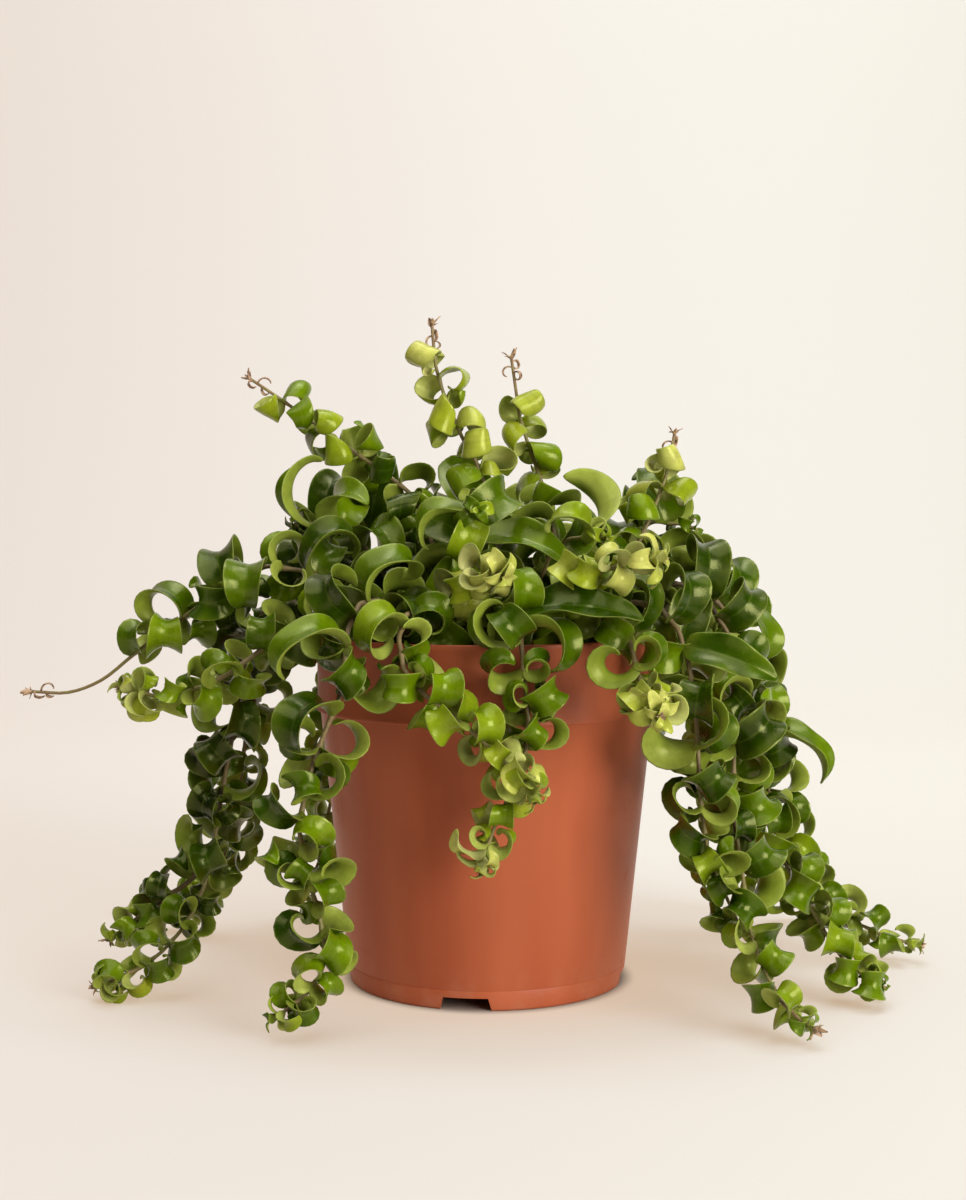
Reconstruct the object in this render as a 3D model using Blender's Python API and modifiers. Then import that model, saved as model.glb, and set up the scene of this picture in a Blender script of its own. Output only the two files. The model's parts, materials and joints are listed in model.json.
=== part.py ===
"""Potted lipstick plant with curled leaves, standing in a 15 cm plastic nursery pot.

Sizes are in millimetres and turned into metres by MM. +Z is up, the front faces -Y, and the
origin is on the surface under the middle of the pot. Each leafy stem is one solid: a thin
tube with pairs of curled leaves that grow out of it, rooted in a plain hole in the soil.
"""
import math
import random
from collections import namedtuple

import bmesh
import bpy
from mathutils import Matrix, Vector
from mathutils.bvhtree import BVHTree

MM = 0.001
GAP = 0.3                     # kept between pieces that touch on the real plant

# Pot, turned about Z
POT_RIM_RADIUS = 75.0         # outside of the band under the rim
POT_WALL_RADIUS = 73.2        # outside of the wall where the band ends
POT_FOOT_RADIUS = 60.7
POT_HEIGHT = 152.7
POT_WALL = 1.6
BAND_BOTTOM = 119.6
CORNER = 1.3                  # rounding of the lower outer corner
FOOT_WIDTH = 3.0
FOOT_HEIGHT = 5.5             # height of the recess under the base, and of the notches
NOTCH_TOP_WIDTH = 19.0
NOTCH_BOTTOM_WIDTH = 22.5
NOTCH_TURN = -98.5            # degrees from +X to the middle of the notch at the front
NOTCHES = 4
DRAIN_RADIUS = 4.0
DRAIN_CIRCLE = 40.0
SIDES = 32                    # flat sides of the pot and the soil

# Soil
SOIL_EDGE_HEIGHT = 138.5
SOIL_DOME = 3.5
SOIL_LUMP = 0.9
SOIL_RINGS = 2

# Stems
STEM_RADIUS = 1.35
STEM_TIP_RADIUS = 1.0
STEM_FOOT = 128.0             # lower end of each stem, inside its hole in the soil
STEM_STRAIGHT = 145.0         # each stem is straight from its foot to this height, above the soil
STEM_COLLAR = 148.0           # height of the second point that its way goes through
STEM_STEP = 16.0              # longest straight run of a stem's tube
HOLE_GAP = 0.45               # added to the stem's radius, 0.3 mm between the flat sides

# Leaves
LEAF_CHANNEL = 0.24           # rise of the margins above the keel, as a share of the width
LEAF_FALL = 1.25              # above 1, leaves stay long for more of the way to the tip
LEAF_SWELL = 0.42             # power by which a leaf widens from its root
LEAF_TAPER = 0.7              # power by which it narrows to its pointed tip
LEAF_KEEL = 0.45              # depth of the keel below the middle line of the blade
LEAF_FOOT_KEEL = 1.0          # deeper keel where the leaf's stalk leaves the stem
LEAF_ROOT = 0.45              # how far past the stem's middle a leaf starts, as a share of its radius
LEAF_CURL_GROWTH = 0.9        # how much tighter the curl is at the tip than at the root
BIG_LEAF = 37.0               # leaves at least this long all stay, smaller ones alternate
BIG_CUTS = (0.0, 0.13, 0.32, 0.51, 0.69, 0.86, 1.0)
SMALL_CUTS = (0.0, 0.16, 0.4, 0.63, 0.84, 1.0)
TIP_LEAF = 30.0               # leaves shorter than this have one segment less
TIP_CUTS = (0.0, 0.2, 0.48, 0.76, 1.0)
MOST_CURL = 335               # degrees
LEAF_CLEAR = 0.35             # room kept round each leaf
SIDE_TURNS = (0, 180)         # each leaf of a pair, round the stem
LEAF_REACH = 45.0             # leaves whose middles are further apart than this can't touch
GUARD_SIDES = 6
SEED = 41

# Other ways to set a leaf that would touch something: turn about the stem and extra curl in
# degrees, and size
TRIES = (
    (0, 0, 1.0), (18, 0, 1.0), (-18, 0, 1.0), (0, 40, 0.94), (34, 20, 0.94), (-34, 20, 0.94),
    (14, 60, 0.84), (-14, 60, 0.84), (50, 30, 0.84), (-50, 30, 0.84), (0, 80, 0.72),
    (28, 80, 0.72), (-28, 80, 0.72), (60, 60, 0.72), (-60, 60, 0.72),
)

Stem = namedtuple("Stem", "name base route lengths spacing curl lean bare joins width")
Leaf = namedtuple("Leaf", "root along out length width curl start drift twist radius")


def stem(name, base, route, lengths, spacing=(16, 10), curl=(240, 325), lean=(35, 45),
         bare=4.0, joins=None, width=(0.38, 0.52)):
    """One leafy stem: where it leaves the soil, its way to the tip, and its leaves from base to tip."""
    return Stem(name, base, route, lengths, spacing, curl, lean, bare, joins, width)


# The short stems of the mound carry long, narrow, open leaves
CROWN = {"lengths": (50, 42), "spacing": (15, 13), "curl": (100, 190), "width": (0.38, 0.42)}

# Those that rise above it carry rings of nearly one size
UPPER = {"lengths": (36.5, 28), "spacing": (12.5, 10.5), "curl": (265, 330), "width": (0.40, 0.44)}

# Every stem's way is a list of points chosen by hand, in mm. The front ones come first, so
# that where two would touch, the hidden one gives way.
STEMS = (
    stem("stem_front_left", (-28, -44), [
        (-36, -50, 160), (-46, -60, 171), (-54, -76, 165), (-56, -84, 150), (-58, -87, 134),
        (-65, -88, 117), (-71, -90, 99), (-74, -92, 79), (-70, -94, 62), (-65, -96, 44),
        (-64, -99, 29), (-71, -102, 18), (-84, -105, 9)], (43, 21)),
    stem("stem_front_diagonal", (-14, -42), [
        (-20, -52, 158), (-30, -66, 167), (-35, -82, 156), (-31, -89, 141), (-18, -94, 130),
        (-5, -98, 120), (6, -102, 110), (15, -106, 102), (18, -107, 95)], (36, 19), (15, 10)),
    stem("stem_front_middle", (8, -44), [
        (10, -52, 160), (12, -64, 170), (13, -80, 159), (15, -87, 138), (16, -90, 119),
        (12, -92, 102), (5, -92, 87), (0, -92, 75), (-2, -92, 65)], (40, 17), (16, 10)),
    stem("stem_front_right", (32, -42), [
        (40, -48, 160), (50, -58, 170), (56, -76, 158), (59, -88, 144), (62, -100, 135),
        (66, -114, 128)], (40, 22), (16, 6)),
    stem("stem_left_low", (-44, -30), [
        (-54, -36, 158), (-72, -43, 163), (-90, -49, 152), (-104, -53, 141), (-118, -54, 134),
        (-136, -53, 130), (-152, -50, 134)], (38, 19), (15, 9)),
    stem("stem_left_long", (-38, -12), [
        (-48, -16, 160), (-66, -20, 176), (-86, -24, 182), (-100, -24, 181), (-123, -22, 166),
        (-148, -19, 148), (-169, -16, 132), (-186, -14, 127), (-198, -14, 128)],
        (42, 27), (15, 11), bare=46.0),
    stem("stem_left_hanging", (-52, -4), [
        (-60, -8, 160), (-76, -13, 172), (-92, -16, 168), (-102, -19, 150), (-106, -21, 128),
        (-110, -24, 106), (-114, -28, 83), (-117, -32, 62), (-122, -37, 42), (-132, -41, 26),
        (-146, -44, 14), (-164, -46, 7)], (43, 21)),
    stem("stem_left_branch", None, [
        (-118, -33, 57), (-130, -30, 46), (-141, -27, 38), (-152, -24, 30), (-163, -22, 21)],
        (26, 19), (14, 12), joins="stem_left_hanging"),
    stem("stem_upper_left", (-12, 6), [
        (-16, 4, 166), (-24, 3, 191), (-30, 5, 209), (-40, 9, 219), (-54, 14, 229),
        (-74, 20, 243), (-92, 24, 256), (-107, 26, 266)], bare=14.0, **UPPER),
    stem("stem_upper_middle_left", (4, -6), [
        (3, -4, 170), (1, -1, 200), (-2, 0, 222), (-10, 0, 237), (-17, 0, 253), (-22, 0, 268),
        (-24, 0, 287)], bare=12.0, **UPPER),
    stem("stem_upper_middle_right", (24, 10), [
        (29, 9, 172), (30, 8, 196), (26, 10, 214), (20, 12, 232), (15, 12, 247),
        (13, 12, 260), (11, 12, 274)], bare=10.0, **UPPER),
    stem("stem_upper_right", (46, -10), [
        (54, -11, 165), (63, -10, 186), (71, -7, 203), (78, -6, 221), (82, -5, 240)],
        bare=10.0, **UPPER),
    stem("stem_yellow_right", (20, -34), [
        (25, -46, 158), (31, -60, 170), (38, -74, 178), (47, -80, 183), (57, -84, 186),
        (69, -86, 188)], (34, 17), (13, 8)),
    stem("stem_yellow_middle", (-4, -30), [
        (-8, -42, 158), (-9, -56, 172), (-4, -70, 179), (2, -78, 182), (7, -85, 180)],
        (34, 17), (13, 8)),
    stem("stem_right_front", (52, -14), [
        (62, -17, 165), (78, -21, 176), (96, -27, 166), (104, -33, 148), (106, -40, 125),
        (103, -48, 103), (102, -56, 81), (104, -66, 61), (105, -80, 41), (109, -92, 27),
        (115, -104, 15), (125, -112, 8)], (46, 21)),
    stem("stem_right_middle", (54, 6), [
        (63, 7, 166), (80, 9, 179), (99, 8, 171), (111, 3, 150), (116, -6, 120),
        (118, -14, 94), (121, -22, 73), (129, -32, 53), (139, -42, 35), (151, -48, 17),
        (166, -54, 8)], (46, 21)),
    stem("stem_right_back", (50, 24), [
        (61, 29, 168), (79, 33, 182), (100, 37, 176), (116, 40, 156), (123, 41, 125),
        (127, 38, 94), (134, 34, 67), (144, 30, 45), (158, 26, 27), (175, 22, 15),
        (197, 20, 8)], (46, 21)),
    stem("stem_right_short", (44, -28), [
        (54, -36, 162), (66, -48, 170), (78, -60, 158), (83, -69, 136), (85, -72, 112),
        (86, -74, 90), (89, -76, 70), (96, -78, 52), (104, -72, 35)], (46, 22)),
    stem("stem_crown_middle", (-2, -16), [
        (-3, -22, 170), (-5, -30, 192), (-6, -42, 204), (-4, -54, 207)], **CROWN),
    stem("stem_crown_front_right", (16, -14), [
        (21, -20, 170), (28, -30, 189), (38, -40, 196), (50, -46, 195)], **CROWN),
    stem("stem_crown_left", (-30, 8), [
        (-38, 8, 165), (-52, 6, 188), (-68, 2, 201), (-86, -2, 199)], **CROWN),
    stem("stem_crown_right", (32, 20), [
        (44, 20, 170), (60, 18, 192), (78, 16, 202), (94, 12, 198)], **CROWN),
    stem("stem_crown_back_left", (-20, 26), [
        (-30, 30, 170), (-44, 34, 192), (-58, 36, 200), (-72, 36, 196)], **CROWN),
    stem("stem_crown_back", (6, 28), [
        (6, 34, 172), (4, 42, 196), (2, 52, 206), (0, 62, 204)], **CROWN),
    stem("stem_back_left_side", (-48, 14), [
        (-60, 18, 162), (-78, 26, 172), (-96, 34, 160), (-106, 40, 136), (-112, 46, 108),
        (-116, 52, 80), (-122, 58, 52), (-132, 66, 28), (-148, 76, 14), (-162, 84, 8)],
        (44, 20), (21, 14)),
    stem("stem_back_left", (-34, 34), [
        (-44, 44, 160), (-54, 60, 172), (-64, 76, 160), (-70, 88, 134), (-72, 94, 104),
        (-76, 98, 74), (-80, 102, 48), (-86, 106, 24), (-92, 111, 11)], (44, 20), (21, 14)),
    stem("stem_back_middle_left", (-12, 44), [
        (-16, 56, 160), (-20, 70, 171), (-24, 86, 156), (-26, 94, 130), (-26, 98, 104),
        (-24, 100, 80)], (44, 20), (21, 14)),
    stem("stem_back_middle_right", (14, 44), [
        (16, 58, 160), (19, 72, 170), (22, 88, 156), (26, 96, 130), (28, 98, 100),
        (26, 100, 70), (24, 103, 44), (22, 107, 22), (24, 115, 11)], (44, 20), (21, 14)),
    stem("stem_back_right", (36, 40), [
        (44, 50, 160), (58, 62, 172), (70, 76, 162), (78, 86, 138), (82, 92, 110),
        (84, 96, 88)], (44, 20), (21, 12)),
    stem("stem_back_right_side", (48, 38), [
        (60, 44, 162), (78, 53, 176), (98, 62, 166), (108, 68, 142), (114, 72, 112),
        (118, 76, 84), (124, 82, 56), (134, 90, 30), (146, 98, 14), (158, 106, 8)],
        (44, 20), (21, 14)),
)

# The big leaves that show most, placed by hand: the stem, the pair and the side that each grows
# from, the way that it sets out, the side that its back faces, and its curl and start in degrees
Chosen = namedtuple("Chosen", "length width out face curl start")
CHOSEN = {
    ("stem_front_middle", 2, 0): Chosen(54, 19, (1.0, -0.3, 0.12), (0.0, -0.6, 0.8), 40, 12),
    ("stem_front_middle", 3, 0): Chosen(42, 18, (0.9, -0.5, 0.1), (0.1, 0.0, 1.0), 185, 40),
    ("stem_crown_middle", 3, 0): Chosen(48, 18, (1.0, -0.4, -0.1), (0.0, -0.6, 0.8), 75, 20),
    ("stem_crown_middle", 3, 1): Chosen(42, 20, (-0.8, -0.2, 0.6), (-0.1, -1.0, 0.3), 90, 10),
    ("stem_crown_middle", 4, 0): Chosen(40, 21, (0.5, 0.1, 0.3), (0.0, -1.0, 0.2), 150, 45),
    ("stem_crown_middle", 4, 1): Chosen(38, 19, (-1.0, -0.5, 0.1), (-0.1, -0.4, 1.0), 160, 30),
    ("stem_right_front", 3, 0): Chosen(40, 18, (-0.3, -0.6, -0.8), (0.0, -1.0, 0.4), 100, 20),
    ("stem_right_short", 4, 0): Chosen(42, 16, (0.95, -0.4, -0.25), (0.0, -0.8, 0.4), 55, 15),
    ("stem_front_left", 4, 0): Chosen(46, 16, (-0.8, -0.5, 0.2), (-0.2, -0.5, 1.0), 190, 40),
    ("stem_front_left", 6, 0): Chosen(42, 18, (-0.6, -0.8, 0.2), (0.0, -0.2, 1.0), 230, 40),
    ("stem_front_diagonal", 3, 0): Chosen(44, 14, (-0.6, -0.6, 0.2), (0.2, -0.3, 1.0), 330, 45),
    ("stem_right_middle", 5, 0): Chosen(40, 17, (0.7, -0.6, 0.2), (0.2, -0.1, 1.0), 250, 35),
    ("stem_right_middle", 9, 0): Chosen(46, 20, (0.9, -0.4, 0.1), (0.0, -0.1, 1.0), 160, 35),
    ("stem_left_long", 3, 0): Chosen(46, 16, (-0.3, -0.4, 1.0), (-1.0, -0.2, -0.3), 250, 15),
    ("stem_left_long", 3, 1): Chosen(40, 17, (0.4, 0.3, 1.0), (0.2, -1.0, 0.2), 60, 0),
    ("stem_left_long", 5, 0): Chosen(38, 17, (-0.1, -1.0, 0.0), (0.0, 0.0, 1.0), 240, 40),
    ("stem_left_long", 6, 0): Chosen(38, 18, (-0.4, 0.1, 1.0), (-0.3, -1.0, 0.2), 230, 20),
    ("stem_left_long", 8, 0): Chosen(40, 16, (-0.1, -0.2, 1.0), (1.0, -0.35, 0.0), 320, 20),
}

# Materials: colour, roughness, metallic
LOOKS = {
    "pot_plastic": ((0.47, 0.13, 0.055, 1.0), 0.38, 0.0),
    "soil": ((0.035, 0.022, 0.014, 1.0), 0.95, 0.0),
    "foliage": ((0.07, 0.22, 0.025, 1.0), 0.32, 0.0),
}


def material(name):
    """The Principled material of this name."""
    found = bpy.data.materials.get(name)
    if found:
        return found
    colour, roughness, metallic = LOOKS[name]
    made = bpy.data.materials.new(name)
    made.use_nodes = True
    shader = made.node_tree.nodes["Principled BSDF"]
    shader.inputs["Base Color"].default_value = colour
    shader.inputs["Roughness"].default_value = roughness
    shader.inputs["Metallic"].default_value = metallic
    made.diffuse_color = colour
    return made


def new_object(name, mesh, look, collection):
    """Link a mesh as an object of this name, with its material, in the collection."""
    made = bpy.data.objects.new(name, mesh)
    if look:
        mesh.materials.clear()
        mesh.materials.append(material(look))
    collection.objects.link(made)
    return made


def turned(name, profile, look, collection):
    """Turn a profile, (radius, height) pairs running down the outer side, about Z."""
    mesh = bpy.data.meshes.new(name)
    points = [(radius * MM, 0.0, height * MM) for radius, height in profile]
    edges = [(i, i + 1) for i in range(len(points) - 1)]
    mesh.from_pydata(points, edges, [])
    made = new_object(name, mesh, look, collection)
    screw = made.modifiers.new("Screw", "SCREW")
    screw.steps = SIDES
    screw.render_steps = SIDES
    screw.use_merge_vertices = True
    screw.merge_threshold = 0.00002
    screw.use_smooth_shade = False
    return made


def apply_modifiers(made):
    """Replace the object's mesh by its evaluated one."""
    bpy.context.view_layer.update()
    graph = bpy.context.evaluated_depsgraph_get()
    mesh = bpy.data.meshes.new_from_object(made.evaluated_get(graph))
    made.modifiers.clear()
    made.data = mesh


def cutter_object(name, mesh, cutters):
    """A cutter: a plain object shown as wire and never rendered."""
    made = new_object(name, mesh, None, cutters)
    made.hide_render = True
    made.display_type = "WIRE"
    return made


def cut_all(made, cutters, name):
    """Cut away every object of the collection with one Boolean, then remove them."""
    boolean = made.modifiers.new(name, "BOOLEAN")
    boolean.operation = "DIFFERENCE"
    boolean.operand_type = "COLLECTION"
    boolean.collection = cutters
    apply_modifiers(made)
    for used in list(cutters.objects):
        bpy.data.objects.remove(used)


def prism(outline_low, outline_high, low, high):
    """A closed bmesh solid between two outlines of equal length at two heights."""
    solid = bmesh.new()
    below = [solid.verts.new((x * MM, y * MM, low * MM)) for x, y in outline_low]
    above = [solid.verts.new((x * MM, y * MM, high * MM)) for x, y in outline_high]
    count = len(below)
    solid.faces.new(list(reversed(below)))
    solid.faces.new(above)
    for i in range(count):
        j = (i + 1) % count
        solid.faces.new((below[i], below[j], above[j], above[i]))
    bmesh.ops.recalc_face_normals(solid, faces=solid.faces)
    mesh = bpy.data.meshes.new("prism")
    solid.to_mesh(mesh)
    solid.free()
    return mesh


def pot_profile():
    """Outer side from the rim down, the recess under the base, then up the inside."""
    wall_slope = (POT_WALL_RADIUS - POT_FOOT_RADIUS) / BAND_BOTTOM
    base_top = FOOT_HEIGHT + POT_WALL
    return [
        (POT_RIM_RADIUS - POT_WALL, POT_HEIGHT),
        (POT_RIM_RADIUS, POT_HEIGHT),
        (POT_RIM_RADIUS, BAND_BOTTOM),
        (POT_WALL_RADIUS, BAND_BOTTOM),
        (POT_FOOT_RADIUS + wall_slope * CORNER, CORNER),
        (POT_FOOT_RADIUS - CORNER, 0.0),
        (POT_FOOT_RADIUS - FOOT_WIDTH, 0.0),
        (POT_FOOT_RADIUS - FOOT_WIDTH, FOOT_HEIGHT),
        (0.0, FOOT_HEIGHT),
        (0.0, base_top),
        (POT_FOOT_RADIUS + wall_slope * base_top - POT_WALL, base_top),
        (POT_WALL_RADIUS - POT_WALL, BAND_BOTTOM - POT_WALL),
        (POT_RIM_RADIUS - POT_WALL, BAND_BOTTOM + POT_WALL),
        (POT_RIM_RADIUS - POT_WALL, POT_HEIGHT),
    ]


def build_pot(parts, cutters):
    """The plastic pot, with its band, foot ring, four notches in the foot and drain holes."""
    pot = turned("pot", pot_profile(), "pot_plastic", parts)
    apply_modifiers(pot)
    inner = POT_FOOT_RADIUS - 3 * FOOT_WIDTH
    outer = POT_FOOT_RADIUS + FOOT_WIDTH
    for i in range(NOTCHES):
        turn = math.radians(NOTCH_TURN + 360 / NOTCHES * i)
        wide = NOTCH_BOTTOM_WIDTH / 2
        narrow = NOTCH_TOP_WIDTH / 2
        low = [(inner, -wide), (outer, -wide), (outer, wide), (inner, wide)]
        high = [(inner, -narrow), (outer, -narrow), (outer, narrow), (inner, narrow)]
        notch = cutter_object("notch", prism(low, high, -1.0, FOOT_HEIGHT - 0.01), cutters)
        notch.rotation_euler.z = turn
        drain = bmesh.new()
        bmesh.ops.create_cone(drain, cap_ends=True, segments=8, radius1=DRAIN_RADIUS * MM,
                              radius2=DRAIN_RADIUS * MM, depth=2 * FOOT_HEIGHT * MM)
        mesh = bpy.data.meshes.new("drain")
        drain.to_mesh(mesh)
        drain.free()
        hole = cutter_object("drain", mesh, cutters)
        middle = turn + math.radians(180 / NOTCHES)
        hole.location = (DRAIN_CIRCLE * math.cos(middle) * MM,
                         DRAIN_CIRCLE * math.sin(middle) * MM, FOOT_HEIGHT * MM)
    cut_all(pot, cutters, "Notches and drains")


def soil_profile():
    """Domed top from the middle out, then down the inside of the pot with a gap all round."""
    wall_slope = (POT_WALL_RADIUS - POT_FOOT_RADIUS) / BAND_BOTTOM
    base = FOOT_HEIGHT + POT_WALL + GAP
    edge = POT_RIM_RADIUS - POT_WALL - 1.2 * GAP
    dome = []
    for i in range(SOIL_RINGS + 1):
        share = i / SOIL_RINGS
        dome.append((edge * share, SOIL_EDGE_HEIGHT + SOIL_DOME * (1 - share ** 2)))
    return dome + [
        (edge, BAND_BOTTOM + POT_WALL + 2 * GAP),
        (POT_WALL_RADIUS - POT_WALL - 1.2 * GAP, BAND_BOTTOM - POT_WALL + GAP),
        (POT_FOOT_RADIUS + wall_slope * base - POT_WALL - 1.2 * GAP, base),
        (0.0, base),
    ]


def build_soil(parts):
    """The soil: fills the pot to a finger below the rim, with a low lumpy dome on top."""
    soil = turned("soil", soil_profile(), "soil", parts)
    apply_modifiers(soil)
    draw = random.Random(SEED)
    edge = (POT_RIM_RADIUS - POT_WALL - 2 * GAP) * MM
    for vertex in soil.data.vertices:
        radius = math.hypot(vertex.co.x, vertex.co.y)
        if vertex.co.z > SOIL_EDGE_HEIGHT * MM - 1e-6 and radius < edge:
            vertex.co.z += draw.uniform(-1.0, 1.0) * SOIL_LUMP * MM
    return soil


def smooth_way(points, per_span=10):
    """Points of a smooth curve through the given ones."""
    padded = [2 * points[0] - points[1]] + list(points) + [2 * points[-1] - points[-2]]
    way = []
    for i in range(1, len(padded) - 2):
        before, start, end, after = padded[i - 1:i + 3]
        for j in range(per_span):
            t = j / per_span
            way.append(0.5 * (2 * start + (end - before) * t
                              + (2 * before - 5 * start + 4 * end - after) * t ** 2
                              + (3 * start - before - 3 * end + after) * t ** 3))
    way.append(points[-1])
    return way


class Way:
    """A stem's middle line, measured along its length."""

    def __init__(self, points):
        self.points = smooth_way(points)
        self.reach = [0.0]
        for a, b in zip(self.points, self.points[1:]):
            self.reach.append(self.reach[-1] + (b - a).length)
        self.length = self.reach[-1]

    def at(self, distance):
        """The point at this distance from the start."""
        distance = min(max(distance, 0.0), self.length)
        for i in range(1, len(self.reach)):
            if self.reach[i] >= distance:
                share = (distance - self.reach[i - 1]) / (self.reach[i] - self.reach[i - 1])
                return self.points[i - 1].lerp(self.points[i], share)
        return self.points[-1]


def stem_way(spec, grown):
    """The way of a stem: up from its foot in the soil, or out of the stem that it joins."""
    route = [Vector(point) for point in spec.route]
    if spec.joins:
        host = grown[spec.joins]["tube"]
        route[0] = nearest_on_line(route[0], host)
        return Way(route)
    x, y = spec.base
    foot = [Vector((x, y, STEM_FOOT)), Vector((x, y, STEM_COLLAR))]
    return Way(foot + route)


def nearest_on_line(point, line):
    """The point of a broken line that is nearest to the given one."""
    best = None
    for a, b in zip(line, line[1:]):
        share = (point - a).dot(b - a) / (b - a).length_squared
        found = a.lerp(b, min(max(share, 0.0), 1.0))
        if best is None or (found - point).length < (best - point).length:
            best = found
    return best


def pair_places(spec, way):
    """Distances along the stem at which the pairs of leaves grow."""
    start = spec.spacing[0] * 0.6
    if not spec.joins:
        start += STEM_STRAIGHT - STEM_FOOT
    end = way.length - spec.bare
    places = []
    here = start
    while here < end:
        places.append(here)
        share = (here - start) / (end - start)
        here += spec.spacing[0] + (spec.spacing[1] - spec.spacing[0]) * share
    return places, start, end


def grow_stem(spec, grown):
    """The stem's tube points and the place, direction and share of the way of each pair."""
    way = stem_way(spec, grown)
    places, start, end = pair_places(spec, way)
    stops = [0.0]
    if not spec.joins:
        stops.append(STEM_STRAIGHT - STEM_FOOT)
    stops += [(a + b) / 2 for a, b in zip(places, places[1:])]
    stops.append(min(way.length, places[-1] + spec.spacing[1] / 2))
    while way.length - stops[-1] > STEM_STEP:
        stops.append(stops[-1] + STEM_STEP)
    if way.length - stops[-1] > 1.0:
        stops.append(way.length)
    tube = [way.at(stop) for stop in stops]
    pairs = []
    across = Vector((1.0, 0.0, 0.0))
    for place in places:
        index = max(i for i in range(len(stops)) if stops[i] <= place)
        index = min(index, len(stops) - 2)
        share = (place - stops[index]) / (stops[index + 1] - stops[index])
        root = tube[index].lerp(tube[index + 1], share)
        along = (tube[index + 1] - tube[index]).normalized()
        across = (across - across.dot(along) * along).normalized()
        pairs.append((root, along, across, (place - start) / (end - start)))
    return {"tube": tube, "pairs": pairs, "spec": spec}


def stem_radius(share):
    """A stem's radius at a share of the way to its tip."""
    return STEM_RADIUS + (STEM_TIP_RADIUS - STEM_RADIUS) * share


def tube_mesh(points, extra=0.0):
    """A closed four-sided tube through the points, thinner to its tip, in millimetres."""
    curve = bpy.data.curves.new("tube", "CURVE")
    curve.dimensions = "3D"
    curve.bevel_depth = 1.0
    curve.bevel_resolution = 0
    curve.use_fill_caps = True
    spline = curve.splines.new("POLY")
    spline.points.add(len(points) - 1)
    for i, point in enumerate(points):
        share = i / (len(points) - 1)
        spline.points[i].co = (point.x, point.y, point.z, 1.0)
        spline.points[i].radius = stem_radius(share) + extra
    holder = bpy.data.objects.new("tube", curve)
    bpy.context.scene.collection.objects.link(holder)
    bpy.context.view_layer.update()
    graph = bpy.context.evaluated_depsgraph_get()
    mesh = bpy.data.meshes.new_from_object(holder.evaluated_get(graph))
    bpy.data.objects.remove(holder)
    shell = bmesh.new()
    shell.from_mesh(mesh)
    bmesh.ops.remove_doubles(shell, verts=shell.verts, dist=0.0001)
    bmesh.ops.recalc_face_normals(shell, faces=shell.faces)
    shell.to_mesh(mesh)
    shell.free()
    return mesh


def leaf_stations(leaf, cuts, steps=48):
    """Middle, side and outward directions of the blade at each cut, from root to tip.

    The blade starts out along the leaf's own outward direction, tipped towards the stem's
    tip, and curls back in a ring that tightens to the leaf's tip.
    """
    cross = leaf.along.cross(leaf.out)
    drift = math.radians(leaf.drift)
    rate = math.radians(leaf.curl) / (1 + LEAF_CURL_GROWTH / 2)
    place = leaf.root.copy()
    stations = []
    wanted = list(cuts)
    for step in range(steps + 1):
        u = step / steps
        turn = math.radians(leaf.start) - rate * (u + LEAF_CURL_GROWTH * u * u / 2)
        flat = leaf.out * math.cos(turn) + leaf.along * math.sin(turn)
        ahead = flat * math.cos(drift) + cross * math.sin(drift)
        outward = leaf.along * math.cos(turn) - leaf.out * math.sin(turn)
        if wanted and u >= wanted[0] - 0.5 / steps:
            spin = Matrix.Rotation(math.radians(leaf.twist) * u, 3, ahead)
            side = spin @ outward.cross(ahead)
            stations.append((wanted.pop(0), place.copy(), side, spin @ outward))
        place += ahead * (leaf.length / steps)
    return stations


def leaf_half_width(leaf, u):
    """Half the blade's width, which is largest before the middle and falls to a pointed tip."""
    widest = LEAF_SWELL / (LEAF_SWELL + LEAF_TAPER)
    most = widest ** LEAF_SWELL * (1 - widest) ** LEAF_TAPER
    return leaf.width / 2 * u ** LEAF_SWELL * (1 - u) ** LEAF_TAPER / most


def leaf_shell(leaf, cuts, extra=0.0):
    """Points and triangles of a keeled blade, a point at the root and one at the tip."""
    stations = leaf_stations(leaf, cuts)
    root = stations[0][1] - leaf.out * leaf.radius * LEAF_ROOT
    tip = stations[-1][1]
    ahead = (tip - stations[-2][1]).normalized()
    points = [root, tip + ahead * extra]
    for u, middle, side, outward in stations[1:-1]:
        half = leaf_half_width(leaf, u) + extra
        rise = LEAF_CHANNEL * 2 * half + extra
        keel = (LEAF_FOOT_KEEL if u == cuts[1] else LEAF_KEEL) + extra
        points += [middle - side * half + outward * rise, middle + side * half + outward * rise,
                   middle - outward * keel]
    faces = [(0, 2, 3), (0, 4, 2), (0, 3, 4)]
    for left in range(2, len(points) - 3, 3):
        right, keel = left + 1, left + 2
        left_next, right_next, keel_next = left + 3, right + 3, keel + 3
        faces += [(left, left_next, right_next), (left, right_next, right),
                  (left, keel, keel_next), (left, keel_next, left_next),
                  (right, right_next, keel_next), (right, keel_next, keel)]
    last = len(points) - 3
    faces += [(last, 1, last + 1), (last + 2, 1, last), (last + 1, 1, last + 2)]
    return points, faces


def leaf_tree(leaf, cuts):
    """A search tree of the leaf with the room it needs, from just outside its stem."""
    points, faces = leaf_shell(leaf, cuts, LEAF_CLEAR)
    points[0] = leaf.root + leaf.out * (leaf.radius + 2 * LEAF_CLEAR)
    return BVHTree.FromPolygons(points, faces), points


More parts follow.
